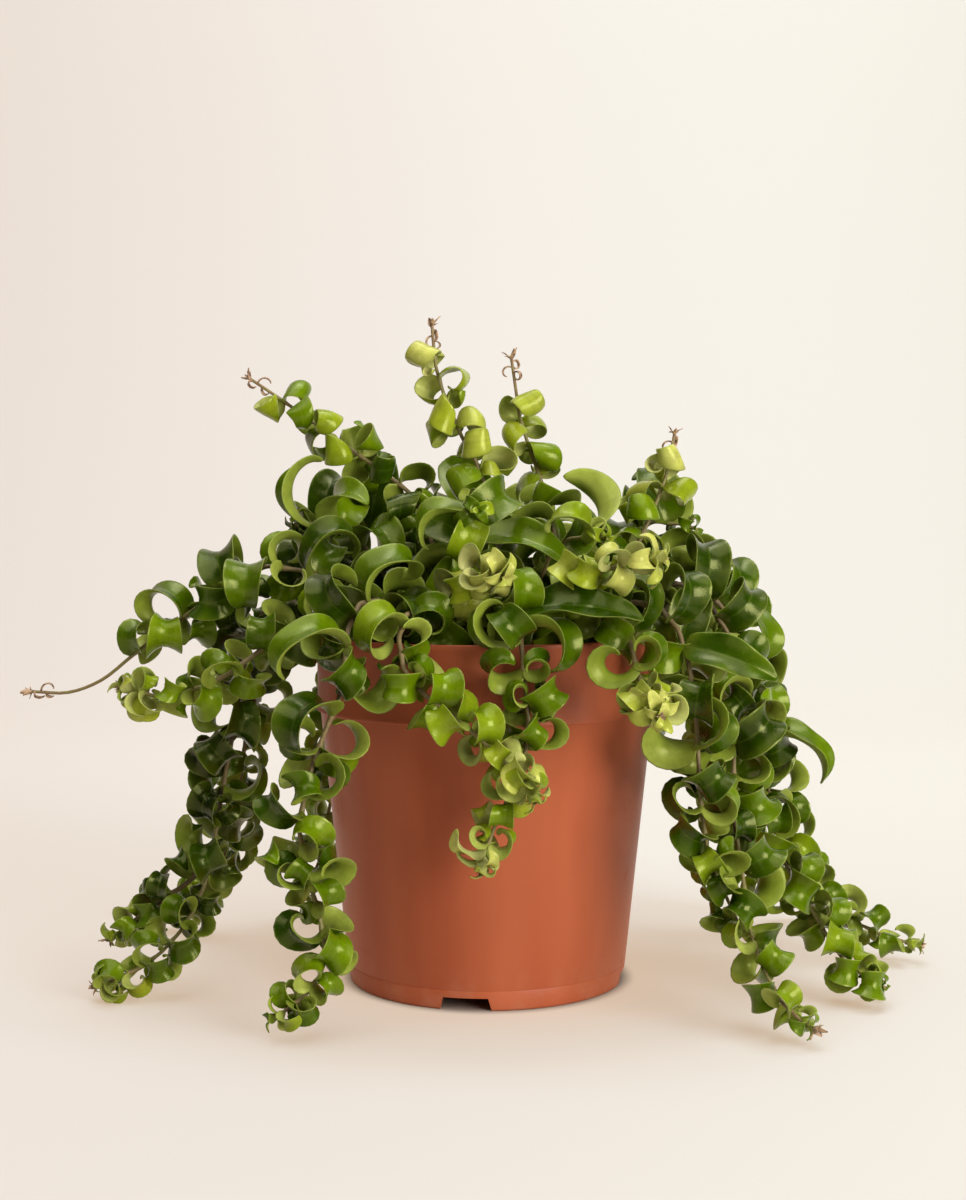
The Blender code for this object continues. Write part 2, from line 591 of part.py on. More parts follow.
def leaf_for(spec, index, pair_number, side, pair, attempt):
    """The leaf on one side of a pair, set in the way that the attempt says."""
    root, along, across, share = pair
    chosen = CHOSEN.get((spec.name, pair_number, side))
    if chosen:
        return chosen_leaf(chosen, root, share, attempt)
    draw = random.Random(SEED + 1000 * index + 10 * pair_number + side)
    turn, more_curl, size = attempt
    azimuth = 90 * pair_number + SIDE_TURNS[side] + draw.uniform(-30, 30) + turn
    out = Matrix.Rotation(math.radians(azimuth), 3, along) @ across
    along = Matrix.Rotation(math.radians(draw.uniform(-55, 55)), 3, out) @ along
    length = leaf_length(spec, pair) * size * draw.uniform(0.92, 1.08)
    curl = spec.curl[0] + (spec.curl[1] - spec.curl[0]) * share + draw.uniform(-25, 25)
    start = spec.lean[0] + (spec.lean[1] - spec.lean[0]) * share + draw.uniform(-18, 18)
    drift = draw.uniform(-24, 24)
    twist = draw.uniform(-40, 40)
    width = length * (spec.width[0] + (spec.width[1] - spec.width[0]) * share)
    return Leaf(root, along, out, length, width, min(curl + more_curl, MOST_CURL), start, drift,
                twist, stem_radius(share))


def chosen_leaf(chosen, root, share, attempt):
    """A leaf placed by hand, set in the way that the attempt says."""
    turn, more_curl, size = attempt
    out = Vector(chosen.out).normalized()
    along = Vector(chosen.face)
    along = (along - along.dot(out) * out).normalized()
    out = Matrix.Rotation(math.radians(turn / 2), 3, along) @ out
    curl = min(chosen.curl + more_curl, MOST_CURL)
    return Leaf(root, along, out, chosen.length * size, chosen.width * size, curl, chosen.start,
                0.0, 0.0, stem_radius(share))


def leaf_length(spec, pair):
    """How long the leaves of a pair are, before their own small differences."""
    return spec.lengths[0] + (spec.lengths[1] - spec.lengths[0]) * pair[3] ** LEAF_FALL


def leaf_cuts(length):
    """Where along a leaf of this length its outline has points."""
    if length >= BIG_LEAF:
        return BIG_CUTS
    return SMALL_CUTS if length >= TIP_LEAF else TIP_CUTS


def grow_leaves(grown):
    """Give each stem its leaves, each set so that it touches nothing but its own stem.

    The leaves placed by hand come first, so that the others give way to them.
    """
    fixed = [pot_guard()] + [tube_guard(data["tube"]) for data in grown.values()]
    placed = []
    leaves = {name: [] for name in grown}
    for by_hand in (True, False):
        for index, (name, data) in enumerate(grown.items()):
            for pair_number, pair in enumerate(data["pairs"]):
                for side in range(len(SIDE_TURNS)):
                    is_chosen = (name, pair_number, side) in CHOSEN
                    left_out = not is_chosen and is_left_out(data["spec"], pair_number, side, pair)
                    if is_chosen != by_hand or left_out:
                        continue
                    leaf = clear_leaf(data["spec"], index, pair_number, side, pair, placed, fixed)
                    if leaf:
                        leaves[name].append(leaf)
    return leaves


def is_left_out(spec, pair_number, side, pair):
    """Whether a small leaf is left out, because its partner stands for both."""
    return leaf_length(spec, pair) < BIG_LEAF and (pair_number // 2 + side) % 2 == 1


def clear_leaf(spec, index, pair_number, side, pair, placed, fixed):
    """The first way to set this leaf in which it touches nothing, or None."""
    for attempt in TRIES:
        leaf = leaf_for(spec, index, pair_number, side, pair, attempt)
        tree, points = leaf_tree(leaf, leaf_cuts(leaf.length))
        middle = sum(points, Vector()) / len(points)
        if is_clear(tree, points, middle, placed, fixed):
            placed.append((middle, tree))
            return leaf
    return None


def is_clear(tree, points, middle, placed, fixed):
    """Whether a leaf stays above the surface and off the pot, the soil, stems and leaves."""
    if min(point.z for point in points) < GAP + LEAF_CLEAR:
        return False
    if any(tree.overlap(other) for other in fixed):
        return False
    near = (other for place, other in placed if (place - middle).length < LEAF_REACH)
    return not any(tree.overlap(other) for other in near)


def pot_guard():
    """A search tree of the pot's outside and inside down to the soil, and of the soil's top."""
    top = SOIL_EDGE_HEIGHT + SOIL_DOME + SOIL_LUMP
    profile = [(0.0, top), (POT_RIM_RADIUS - POT_WALL, top), (POT_RIM_RADIUS - POT_WALL, POT_HEIGHT),
               (POT_RIM_RADIUS, POT_HEIGHT), (POT_RIM_RADIUS, BAND_BOTTOM),
               (POT_WALL_RADIUS, BAND_BOTTOM), (POT_FOOT_RADIUS, 0.0)]
    points = []
    faces = []
    for i, (radius, height) in enumerate(profile):
        for j in range(SIDES):
            angle = 2 * math.pi * j / SIDES
            points.append(Vector((radius * math.cos(angle), radius * math.sin(angle), height)))
            if i:
                here = i * SIDES + j
                beside = i * SIDES + (j + 1) % SIDES
                faces.append((here, beside, beside - SIDES, here - SIDES))
    return BVHTree.FromPolygons(points, faces)


def tube_guard(line):
    """A search tree of a stem's tube with the room that leaves keep to it."""
    across = Vector((1.0, 0.0, 0.0))
    points = []
    faces = []
    for i, place in enumerate(line):
        along = (line[min(i + 1, len(line) - 1)] - line[max(i - 1, 0)]).normalized()
        across = (across - across.dot(along) * along).normalized()
        beside = along.cross(across)
        radius = stem_radius(i / (len(line) - 1)) + LEAF_CLEAR
        for j in range(GUARD_SIDES):
            angle = 2 * math.pi * j / GUARD_SIDES
            points.append(place + (across * math.cos(angle) + beside * math.sin(angle)) * radius)
            if i:
                here = i * GUARD_SIDES + j
                following = i * GUARD_SIDES + (j + 1) % GUARD_SIDES
                faces.append((here, following, following - GUARD_SIDES, here - GUARD_SIDES))
    return BVHTree.FromPolygons(points, faces)


def build_leafy_stems(parts, joined, grown, leaves):
    """One solid for each stem, its leaves joined to its tube by one union."""
    hosts = {name: data["spec"].joins or name for name, data in grown.items()}
    for name, data in grown.items():
        mesh = tube_mesh(data["tube"])
        mesh.transform(Matrix.Scale(MM, 4))
        data["mesh"] = mesh
    for host in [name for name in grown if hosts[name] == name]:
        made = new_object(host, grown[host]["mesh"], "foliage", parts)
        for name in grown:
            if hosts[name] != host:
                continue
            if name != host:
                new_object(name, grown[name]["mesh"], None, joined)
            for leaf in leaves[name]:
                points, faces = leaf_shell(leaf, leaf_cuts(leaf.length))
                blade = bpy.data.meshes.new("leaf")
                blade.from_pydata([point * MM for point in points], [], faces)
                new_object("leaf", blade, None, joined)
        union = made.modifiers.new("Leaves", "BOOLEAN")
        union.operation = "UNION"
        union.solver = "MANIFOLD"
        union.operand_type = "COLLECTION"
        union.collection = joined
        apply_modifiers(made)
        for used in list(joined.objects):
            bpy.data.objects.remove(used)


def build():
    """Make the pot, the soil and the leafy stems."""
    for old in list(bpy.data.objects):
        bpy.data.objects.remove(old)
    parts = bpy.data.collections.new("potted_lipstick_plant")
    cutters = bpy.data.collections.new("cutters")
    joined = bpy.data.collections.new("joined")
    for collection in (parts, cutters, joined):
        bpy.context.scene.collection.children.link(collection)

    build_pot(parts, cutters)
    soil = build_soil(parts)
    grown = {}
    for spec in STEMS:
        grown[spec.name] = grow_stem(spec, grown)

    leaves = grow_leaves(grown)

    for data in grown.values():
        if data["spec"].joins:
            continue
        hole = tube_mesh([data["tube"][0] - Vector((0, 0, GAP)), data["tube"][1]], HOLE_GAP)
        hole.transform(Matrix.Scale(MM, 4))
        cutter_object("hole", hole, cutters)
    cut_all(soil, cutters, "Stem holes")
    build_leafy_stems(parts, joined, grown, leaves)


build()
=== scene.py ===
"""Looks of the potted lipstick plant: fine leaves, stems, pot and soil, and the studio round it.

The stems' ways and the rule that sets their leaves are those of the solid model, in millimetres
and with the same random draws, so each fine leaf lies where its plain one does. Later rounds
add the leaves that the solid model leaves out.
"""

import json
import math
import random
from bisect import bisect_left
from collections import namedtuple

import bmesh
import bpy
from mathutils import Matrix, Vector, noise
from mathutils.bvhtree import BVHTree

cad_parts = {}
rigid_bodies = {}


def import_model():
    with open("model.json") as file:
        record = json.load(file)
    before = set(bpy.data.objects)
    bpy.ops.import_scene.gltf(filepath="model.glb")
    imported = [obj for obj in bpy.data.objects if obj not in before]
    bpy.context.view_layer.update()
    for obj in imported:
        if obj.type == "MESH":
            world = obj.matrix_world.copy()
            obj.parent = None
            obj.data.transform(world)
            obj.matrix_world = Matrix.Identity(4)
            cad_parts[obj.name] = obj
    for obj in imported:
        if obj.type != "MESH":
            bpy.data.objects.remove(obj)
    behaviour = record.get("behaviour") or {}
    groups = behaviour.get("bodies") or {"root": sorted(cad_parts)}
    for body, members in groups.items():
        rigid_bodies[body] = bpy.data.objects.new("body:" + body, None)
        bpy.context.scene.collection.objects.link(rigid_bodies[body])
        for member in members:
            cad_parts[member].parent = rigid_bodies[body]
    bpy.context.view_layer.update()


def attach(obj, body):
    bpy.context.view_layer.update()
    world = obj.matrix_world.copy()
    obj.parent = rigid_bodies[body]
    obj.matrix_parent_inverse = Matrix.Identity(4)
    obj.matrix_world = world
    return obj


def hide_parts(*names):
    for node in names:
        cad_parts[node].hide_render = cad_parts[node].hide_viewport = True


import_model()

MM = 0.001
GAP = 0.3

# Pot and soil, as in the solid model
POT_RIM_RADIUS = 75.0
POT_WALL_RADIUS = 73.2
POT_FOOT_RADIUS = 60.7
POT_HEIGHT = 152.7
POT_WALL = 1.6
BAND_BOTTOM = 119.6
FOOT_WIDTH = 3.0
FOOT_HEIGHT = 5.5
NOTCH_TOP_WIDTH = 19.0
NOTCH_BOTTOM_WIDTH = 22.5
NOTCH_TURN = -98.5
NOTCHES = 4
DRAIN_RADIUS = 4.0
DRAIN_CIRCLE = 40.0
SIDES = 32
SOIL_EDGE_HEIGHT = 138.5
SOIL_DOME = 3.5
SOIL_LUMP = 0.9

# Stems, as in the solid model
STEM_RADIUS = (1.35, 1.0)     # at the foot and at the tip
STEM_FOOT = 128.0
STEM_STRAIGHT = 145.0
STEM_COLLAR = 148.0
STEM_STEP = 16.0
FIRST_PAIR = 0.6              # of a spacing, from where leaves may start to the first pair

# Leaves, as in the solid model
LEAF_CHANNEL = 0.24           # rise of a leaf's margins, as a share of its width
LEAF_FALL = 1.25              # above 1, leaves stay long for more of the way to the tip
LEAF_SWELL = 0.42             # power by which a leaf widens from its root
LEAF_TAPER = 0.7              # power by which it narrows to its pointed tip
LEAF_KEEL = 0.45
LEAF_FOOT_KEEL = 1.0
LEAF_ROOT = 0.45
LEAF_CURL_GROWTH = 0.9
LEAF_STEPS = 48               # the middle line of a leaf is followed in this many steps
BIG_LEAF = 37.0

# Where leaves of at least these lengths have points in their outline
LEAF_CUTS = ((BIG_LEAF, (0.0, 0.13, 0.32, 0.51, 0.69, 0.86, 1.0)),
             (30.0, (0.0, 0.16, 0.4, 0.63, 0.84, 1.0)), (0.0, (0.0, 0.2, 0.48, 0.76, 1.0)))
MOST_CURL = 335
LEAF_CLEAR = 0.35
LEAF_REACH = 45.0
GUARD_SIDES = 6
SEED = 41
SIDE_TURNS = (0, 180, 90, 270)   # each leaf of a whorl, round the stem

# How far a leaf may differ from its neighbours: in its turn round the stem and round its own way
# out, its size, its curl and start, its drift aside and its twist
TURN_SPREAD, FACE_SPREAD, SIZE_SPREAD = 30, 55, 0.08
CURL_SPREAD, START_SPREAD, DRIFT_SPREAD, TWIST_SPREAD = 25, 18, 24, 40

# The ways in which a leaf is tried: turned round its stem to either side, curled tighter, smaller
TRIES = [(turn * way, more_curl, size) for turn, more_curl, size in (
    (0, 0, 1.0), (18, 0, 1.0), (0, 40, 0.94), (34, 20, 0.94), (14, 60, 0.84), (50, 30, 0.84),
    (0, 80, 0.72), (28, 80, 0.72), (60, 60, 0.72)) for way in ((1, -1) if turn else (1,))]

# The rounds in which leaves are set: the room kept round each, and the crossings allowed
ROUNDS = (("chosen", 0.35, 0), ("main", 0.35, 0), ("left out", 0.1, 8), ("mound", 0.1, 12),
          ("more", 0.1, 5))
MOUND_END = 0.3               # share of a stem's way up to which it is part of the dense mound

# Fine leaves
BIG_STRIDE = 2                # steps from one cross-section to the next, on big leaves and small
SMALL_STRIDE = 3
BIG_ACROSS = (0.16, 0.42, 0.66, 0.85, 0.96, 1.0)   # places from the middle to a margin
SMALL_ACROSS = (0.3, 0.62, 0.85, 0.96, 1.0)
BLADE = (1.35, 1.0)           # thickness of big and small leaves
NARROW_BLADE = 1.25           # how much thicker the narrow ends are
TIP_BLADE = 0.35              # how much thinner a leaf is at its very tip
FLARE = 1.8                   # power by which the blade's margins rise outwards
ROUND_CHANNEL = -0.05         # the rise of the margins on the stems whose leaves are barrel-shaped
ROUNDED = ("upper_left", "upper_middle_left", "upper_middle_right", "upper_right")
WAVE = 0.16                   # height of the waves in the margins, as a share of the half width
WAVES = (0.9, 2.0)            # how many of them there may be along a leaf
WAVE_LEAN = 0.5
RIB_DEPTH = 0.10              # groove along the middle of a leaf
STALK = 1.0                   # half the width of a leaf's stalk
STALK_TAPER = 0.25
THICK_FROM = 16.0             # shorter leaves than this are thinner
TONE_SPREAD = 0.19

# Fine stems and their tips
STEM_SPAN = 4
STEM_SIDES = 9
STEM_SLIM = 0.92              # a fine stem's radius at its foot, as a share of the plain one's
TIP_THINNING = 0.22
STEM_POINT = 0.7              # length of its pointed end, in radii
NODE_SWELL = 0.35
NODE_REACH = 1.8
TIP_LEAVES = 6
TIP_LENGTH = (14.0, 5.0)      # of the first and the last of the tip's leaves
TIP_WIDTH = 0.5
TIP_CURL = (150, 290)         # degrees, and how much less the last of them has
TIP_CURL_LOSS = 90
TIP_START = (40, 60)          # degrees, and how much more the last of them has
TIP_START_GAIN = 30
TIP_TURN = 137.5              # degrees round the stem from each of the tip's leaves to the next
TIP_STEP = 1.1                # how far apart they grow
TIP_FOOT = 0.5                # how far below the tip the last one grows
ROSETTES = {"front_right": 14, "front_diagonal": 9, "front_middle": 9, "left_low": 9,
            "yellow_right": 9, "yellow_middle": 9}
ROSETTE_LENGTH = (18.0, 7.0)
BARE_TIP = 5.0                # stems bare for longer than this end in dry sepals alone
DRY_TIPS = ("front_middle", "front_right", "front_diagonal", "left_low", "left_long",
            "left_hanging", "left_branch", "upper_left", "upper_middle_left",
            "upper_middle_right", "upper_right", "yellow_right", "right_front", "right_back",
            "back_right", "back_middle_left")
SEPALS = 6
SEPAL_LENGTH = (3.5, 6.5)
SEPAL_WIDTH = 0.42
SEPAL_FOOT = 0.4              # how far below the tip they grow
SEPAL_BEND = ((-20, 60), (30, 70))      # their curl and start, in degrees
ROSETTE_SEPAL = 0.6           # sepals in a rosette are this much of the others' length
DRY_CURLS = 3                 # narrow dry leaves on a bare tip
DRY_CURL_LENGTH = (6, 10)
DRY_CURL_WIDTH = 1.9
DRY_CURL_PLACE = (1.5, 2.6)   # from the tip to the first, and on to each of the others
DRY_CURL_BEND = ((150, 300), (0, 50))

# Fine pot and soil
POT_STEPS = 192
FOOT_LINE = 8.5               # height of the line above the foot
LINE_WIDTH = 1.0
LINE_DEPTH = 0.28
BAND_TOP = ((0.05, 2.6), (0.35, 3.2))   # the band's start: how far in, and below the rim
BAND_FOOT = ((0.5, 2.4), (0.05, 1.5))   # its end: how far in, and above its lower edge
BAND_ROUND = 0.6
UNDER_BAND = ((0.35, 0.1), (0.0, 0.5))  # the fillet below it: how far out of the wall, and down
FOOT_ROUND = 1.3
POT_CREASE = 40               # edges sharper than this many degrees stay sharp
SOIL_RINGS = 40
SOIL_STEPS = 120
SOIL_WAVES = ((9, 1.0, 0.0), (3.5, 0.5, 7.0))   # size, share of the height, and level of the noise
SOIL_WAVE = 1.3
CRUMBS = 900
CRUMB_SIZE = (0.6, 1.9)
CRUMB_SHAPE = (0.7, 1.25)     # how far its corners go in and out
CRUMB_RISE = 0.25
CRUMB_MARGIN = 2.5

# Camera, fitted to the pot's rim, band and foot in the photograph
CAMERA_PLACE = (-1.65, -802.0, 208.0)
CAMERA_TILT = 2.92            # degrees down
CAMERA_LENS = 54.57           # mm, with the sensor along the frame's longer side
CAMERA_SENSOR = 36.0

# Lights, in metres: name, place, the point that each shines on, size, watts and colour
MIDDLE = (0.0, 0.0, 0.12)
LIGHTS = (
    ("key", (1.05, -1.1, 0.5), MIDDLE, 0.9, 29.0, (1.0, 0.99, 0.97)),
    ("fill", (-1.5, -0.9, 0.8), MIDDLE, 1.6, 0.6, (1.0, 0.97, 0.94)),
    ("top", (-0.15, -0.35, 1.55), MIDDLE, 1.9, 27.0, (1.0, 0.985, 0.97)),
    ("wall", (0.3, 0.5, 1.9), (0.25, 1.7, 0.6), 1.2, 18.0, (1.0, 0.99, 0.975)),
)

Leaf = namedtuple("Leaf", "root along out length width curl start drift twist radius")

# One leafy stem: where it leaves the soil, its way to the tip, and its leaves from base to tip
Stem = namedtuple("Stem", "name base route lengths spacing curl lean bare joins width",
                  defaults=((16, 10), (240, 325), (35, 45), 4.0, None, (0.38, 0.52)))

# The short stems of the mound carry long, narrow, open leaves
CROWN = {"lengths": (50, 42), "spacing": (15, 13), "curl": (100, 190), "width": (0.38, 0.42)}

# Those that rise above it carry rings of nearly one size
UPPER = {"lengths": (36.5, 28), "spacing": (12.5, 10.5), "curl": (265, 330), "width": (0.40, 0.44)}

# Every stem's way is a list of points, in mm. The front ones come first, so
# that where two would touch, the hidden one gives way.
STEMS = (
    Stem("front_left", (-28, -44), [(-36, -50, 160), (-46, -60, 171), (-54, -76, 165), (-56, -84, 150),
         (-58, -87, 134), (-65, -88, 117), (-71, -90, 99), (-74, -92, 79), (-70, -94, 62),
         (-65, -96, 44), (-64, -99, 29), (-71, -102, 18), (-84, -105, 9)], (43, 21)),
    Stem("front_diagonal", (-14, -42), [(-20, -52, 158), (-30, -66, 167), (-35, -82, 156),
         (-31, -89, 141), (-18, -94, 130), (-5, -98, 120), (6, -102, 110), (15, -106, 102),
         (18, -107, 95)], (36, 19), (15, 10)),
    Stem("front_middle", (8, -44), [(10, -52, 160), (12, -64, 170), (13, -80, 159), (15, -87, 138),
         (16, -90, 119), (12, -92, 102), (5, -92, 87), (0, -92, 75), (-2, -92, 65)], (40, 17),
         (16, 10)),
    Stem("front_right", (32, -42), [(40, -48, 160), (50, -58, 170), (56, -76, 158), (59, -88, 144),
         (62, -100, 135), (66, -114, 128)], (40, 22), (16, 6)),
    Stem("left_low", (-44, -30), [(-54, -36, 158), (-72, -43, 163), (-90, -49, 152), (-104, -53, 141),
         (-118, -54, 134), (-136, -53, 130), (-152, -50, 134)], (38, 19), (15, 9)),
    Stem("left_long", (-38, -12), [(-48, -16, 160), (-66, -20, 176), (-86, -24, 182), (-100, -24, 181),
         (-123, -22, 166), (-148, -19, 148), (-169, -16, 132), (-186, -14, 127), (-198, -14, 128)],
         (42, 27), (15, 11), bare=46.0),
    Stem("left_hanging", (-52, -4), [(-60, -8, 160), (-76, -13, 172), (-92, -16, 168),
         (-102, -19, 150), (-106, -21, 128), (-110, -24, 106), (-114, -28, 83), (-117, -32, 62),
         (-122, -37, 42), (-132, -41, 26), (-146, -44, 14), (-164, -46, 7)], (43, 21)),
    Stem("left_branch", None, [(-118, -33, 57), (-130, -30, 46), (-141, -27, 38), (-152, -24, 30),
         (-163, -22, 21)], (26, 19), (14, 12), joins="left_hanging"),
    Stem("upper_left", (-12, 6), [(-16, 4, 166), (-24, 3, 191), (-30, 5, 209), (-40, 9, 219),
         (-54, 14, 229), (-74, 20, 243), (-92, 24, 256), (-107, 26, 266)], bare=14.0, **UPPER),
    Stem("upper_middle_left", (4, -6), [(3, -4, 170), (1, -1, 200), (-2, 0, 222), (-10, 0, 237),
         (-17, 0, 253), (-22, 0, 268), (-24, 0, 287)], bare=12.0, **UPPER),
    Stem("upper_middle_right", (24, 10), [(29, 9, 172), (30, 8, 196), (26, 10, 214), (20, 12, 232),
         (15, 12, 247), (13, 12, 260), (11, 12, 274)], bare=10.0, **UPPER),
    Stem("upper_right", (46, -10), [(54, -11, 165), (63, -10, 186), (71, -7, 203), (78, -6, 221),
         (82, -5, 240)], bare=10.0, **UPPER),
    Stem("yellow_right", (20, -34), [(25, -46, 158), (31, -60, 170), (38, -74, 178), (47, -80, 183),
         (57, -84, 186), (69, -86, 188)], (34, 17), (13, 8)),
    Stem("yellow_middle", (-4, -30), [(-8, -42, 158), (-9, -56, 172), (-4, -70, 179), (2, -78, 182),
         (7, -85, 180)], (34, 17), (13, 8)),
    Stem("right_front", (52, -14), [(62, -17, 165), (78, -21, 176), (96, -27, 166), (104, -33, 148),
         (106, -40, 125), (103, -48, 103), (102, -56, 81), (104, -66, 61), (105, -80, 41),
         (109, -92, 27), (115, -104, 15), (125, -112, 8)], (46, 21)),
    Stem("right_middle", (54, 6), [(63, 7, 166), (80, 9, 179), (99, 8, 171), (111, 3, 150),
         (116, -6, 120), (118, -14, 94), (121, -22, 73), (129, -32, 53), (139, -42, 35), (151, -48, 17),
         (166, -54, 8)], (46, 21)),
    Stem("right_back", (50, 24), [(61, 29, 168), (79, 33, 182), (100, 37, 176), (116, 40, 156),
         (123, 41, 125), (127, 38, 94), (134, 34, 67), (144, 30, 45), (158, 26, 27), (175, 22, 15),
         (197, 20, 8)], (46, 21)),
    Stem("right_short", (44, -28), [(54, -36, 162), (66, -48, 170), (78, -60, 158), (83, -69, 136),
         (85, -72, 112), (86, -74, 90), (89, -76, 70), (96, -78, 52), (104, -72, 35)], (46, 22)),
    Stem("crown_middle", (-2, -16), [(-3, -22, 170), (-5, -30, 192), (-6, -42, 204), (-4, -54, 207)],
         **CROWN),
    Stem("crown_front_right", (16, -14), [(21, -20, 170), (28, -30, 189), (38, -40, 196),
         (50, -46, 195)], **CROWN),
    Stem("crown_left", (-30, 8), [(-38, 8, 165), (-52, 6, 188), (-68, 2, 201), (-86, -2, 199)],
         **CROWN),
    Stem("crown_right", (32, 20), [(44, 20, 170), (60, 18, 192), (78, 16, 202), (94, 12, 198)],
         **CROWN),
    Stem("crown_back_left", (-20, 26), [(-30, 30, 170), (-44, 34, 192), (-58, 36, 200),
         (-72, 36, 196)], **CROWN),
    Stem("crown_back", (6, 28), [(6, 34, 172), (4, 42, 196), (2, 52, 206), (0, 62, 204)], **CROWN),
    Stem("back_left_side", (-48, 14), [(-60, 18, 162), (-78, 26, 172), (-96, 34, 160), (-106, 40, 136),
         (-112, 46, 108), (-116, 52, 80), (-122, 58, 52), (-132, 66, 28), (-148, 76, 14),
         (-162, 84, 8)], (44, 20), (21, 14)),
    Stem("back_left", (-34, 34), [(-44, 44, 160), (-54, 60, 172), (-64, 76, 160), (-70, 88, 134),
         (-72, 94, 104), (-76, 98, 74), (-80, 102, 48), (-86, 106, 24), (-92, 111, 11)], (44, 20),
         (21, 14)),
    Stem("back_middle_left", (-12, 44), [(-16, 56, 160), (-20, 70, 171), (-24, 86, 156),
         (-26, 94, 130), (-26, 98, 104), (-24, 100, 80)], (44, 20), (21, 14)),
    Stem("back_middle_right", (14, 44), [(16, 58, 160), (19, 72, 170), (22, 88, 156), (26, 96, 130),
         (28, 98, 100), (26, 100, 70), (24, 103, 44), (22, 107, 22), (24, 115, 11)], (44, 20),
         (21, 14)),
    Stem("back_right", (36, 40), [(44, 50, 160), (58, 62, 172), (70, 76, 162), (78, 86, 138),
         (82, 92, 110), (84, 96, 88)], (44, 20), (21, 12)),
    Stem("back_right_side", (48, 38), [(60, 44, 162), (78, 53, 176), (98, 62, 166), (108, 68, 142),
         (114, 72, 112), (118, 76, 84), (124, 82, 56), (134, 90, 30), (146, 98, 14), (158, 106, 8)],
         (44, 20), (21, 14)),
)

# The big leaves that show most, placed one by one: the stem, the pair and the side that each grows
# from, the way that it sets out, the side that its back faces, and its curl and start in degrees.
# Those on the sides 2 and 3 aren't in the solid model.
Chosen = namedtuple("Chosen", "length width out face curl start")
CHOSEN = {
    ("front_middle", 2, 0): Chosen(54, 19, (1.0, -0.3, 0.12), (0.0, -0.6, 0.8), 40, 12),
    ("front_middle", 3, 0): Chosen(42, 18, (0.9, -0.5, 0.1), (0.1, 0.0, 1.0), 185, 40),
    ("crown_middle", 3, 0): Chosen(48, 18, (1.0, -0.4, -0.1), (0.0, -0.6, 0.8), 75, 20),
    ("crown_middle", 3, 1): Chosen(42, 20, (-0.8, -0.2, 0.6), (-0.1, -1.0, 0.3), 90, 10),
    ("crown_middle", 4, 0): Chosen(40, 21, (0.5, 0.1, 0.3), (0.0, -1.0, 0.2), 150, 45),
    ("crown_middle", 4, 1): Chosen(38, 19, (-1.0, -0.5, 0.1), (-0.1, -0.4, 1.0), 160, 30),
    ("right_front", 3, 0): Chosen(40, 18, (-0.3, -0.6, -0.8), (0.0, -1.0, 0.4), 100, 20),
    ("right_short", 4, 0): Chosen(42, 16, (0.95, -0.4, -0.25), (0.0, -0.8, 0.4), 55, 15),
    ("front_left", 4, 0): Chosen(46, 16, (-0.8, -0.5, 0.2), (-0.2, -0.5, 1.0), 190, 40),
    ("front_left", 6, 0): Chosen(42, 18, (-0.6, -0.8, 0.2), (0.0, -0.2, 1.0), 230, 40),
    ("front_diagonal", 3, 0): Chosen(44, 14, (-0.6, -0.6, 0.2), (0.2, -0.3, 1.0), 330, 45),
    ("right_middle", 5, 0): Chosen(40, 17, (0.7, -0.6, 0.2), (0.2, -0.1, 1.0), 250, 35),
    ("right_middle", 9, 0): Chosen(46, 20, (0.9, -0.4, 0.1), (0.0, -0.1, 1.0), 160, 35),
    ("left_long", 3, 0): Chosen(46, 16, (-0.3, -0.4, 1.0), (-1.0, -0.2, -0.3), 250, 15),
    ("left_long", 3, 1): Chosen(40, 17, (0.4, 0.3, 1.0), (0.2, -1.0, 0.2), 60, 0),
    ("left_long", 5, 0): Chosen(38, 17, (-0.1, -1.0, 0.0), (0.0, 0.0, 1.0), 240, 40),
    ("left_long", 6, 0): Chosen(38, 18, (-0.4, 0.1, 1.0), (-0.3, -1.0, 0.2), 230, 20),
    ("left_long", 8, 0): Chosen(40, 16, (-0.1, -0.2, 1.0), (1.0, -0.35, 0.0), 320, 20),
    ("crown_left", 4, 2): Chosen(38, 20, (0.6, 0.2, 1.0), (0.2, -1.0, 0.2), 110, 20),
    ("crown_back_left", 4, 2): Chosen(40, 22, (0.2, -0.2, 1.0), (0.1, -1.0, 0.1), 80, 15),
    ("crown_right", 5, 2): Chosen(34, 20, (-0.3, 0.2, 1.0), (0.1, -1.0, 0.2), 90, 20),
    ("crown_right", 4, 2): Chosen(38, 21, (-0.2, 0.7, 0.8), (0.1, -1.0, 0.9), 70, 15),
    ("crown_back", 3, 2): Chosen(40, 22, (0.8, 0.6, 0.6), (0.1, -0.8, 0.8), 70, 15),
    ("crown_back", 4, 3): Chosen(40, 22, (-0.7, 0.0, 0.9), (-0.1, -1.0, 0.3), 80, 15),
    ("back_left_side", 2, 2): Chosen(38, 20, (0.2, -0.1, 1.0), (0.0, -1.0, 0.2), 90, 20),
}


def smooth_way(points, per_span=10):
    """Points of a smooth curve through the given ones."""
    padded = [2 * points[0] - points[1]] + list(points) + [2 * points[-1] - points[-2]]
    way = []
    for i in range(1, len(padded) - 2):
        before, start, end, after = padded[i - 1:i + 3]
        for j in range(per_span):
            t = j / per_span
            way.append(0.5 * (2 * start + (end - before) * t
                              + (2 * before - 5 * start + 4 * end - after) * t ** 2
                              + (3 * start - before - 3 * end + after) * t ** 3))
    way.append(points[-1])
    return way


def between(ends, share):
    """The value at this share of the way from the first of two ends to the second."""
    return ends[0] + (ends[1] - ends[0]) * share


def square_to(direction, axis):
    """The direction, made square to an axis."""
    return (direction - direction.dot(axis) * axis).normalized()


def turn_about(direction, axis, degrees):
    """The direction, turned round an axis."""
    return Matrix.Rotation(math.radians(degrees), 3, axis) @ direction


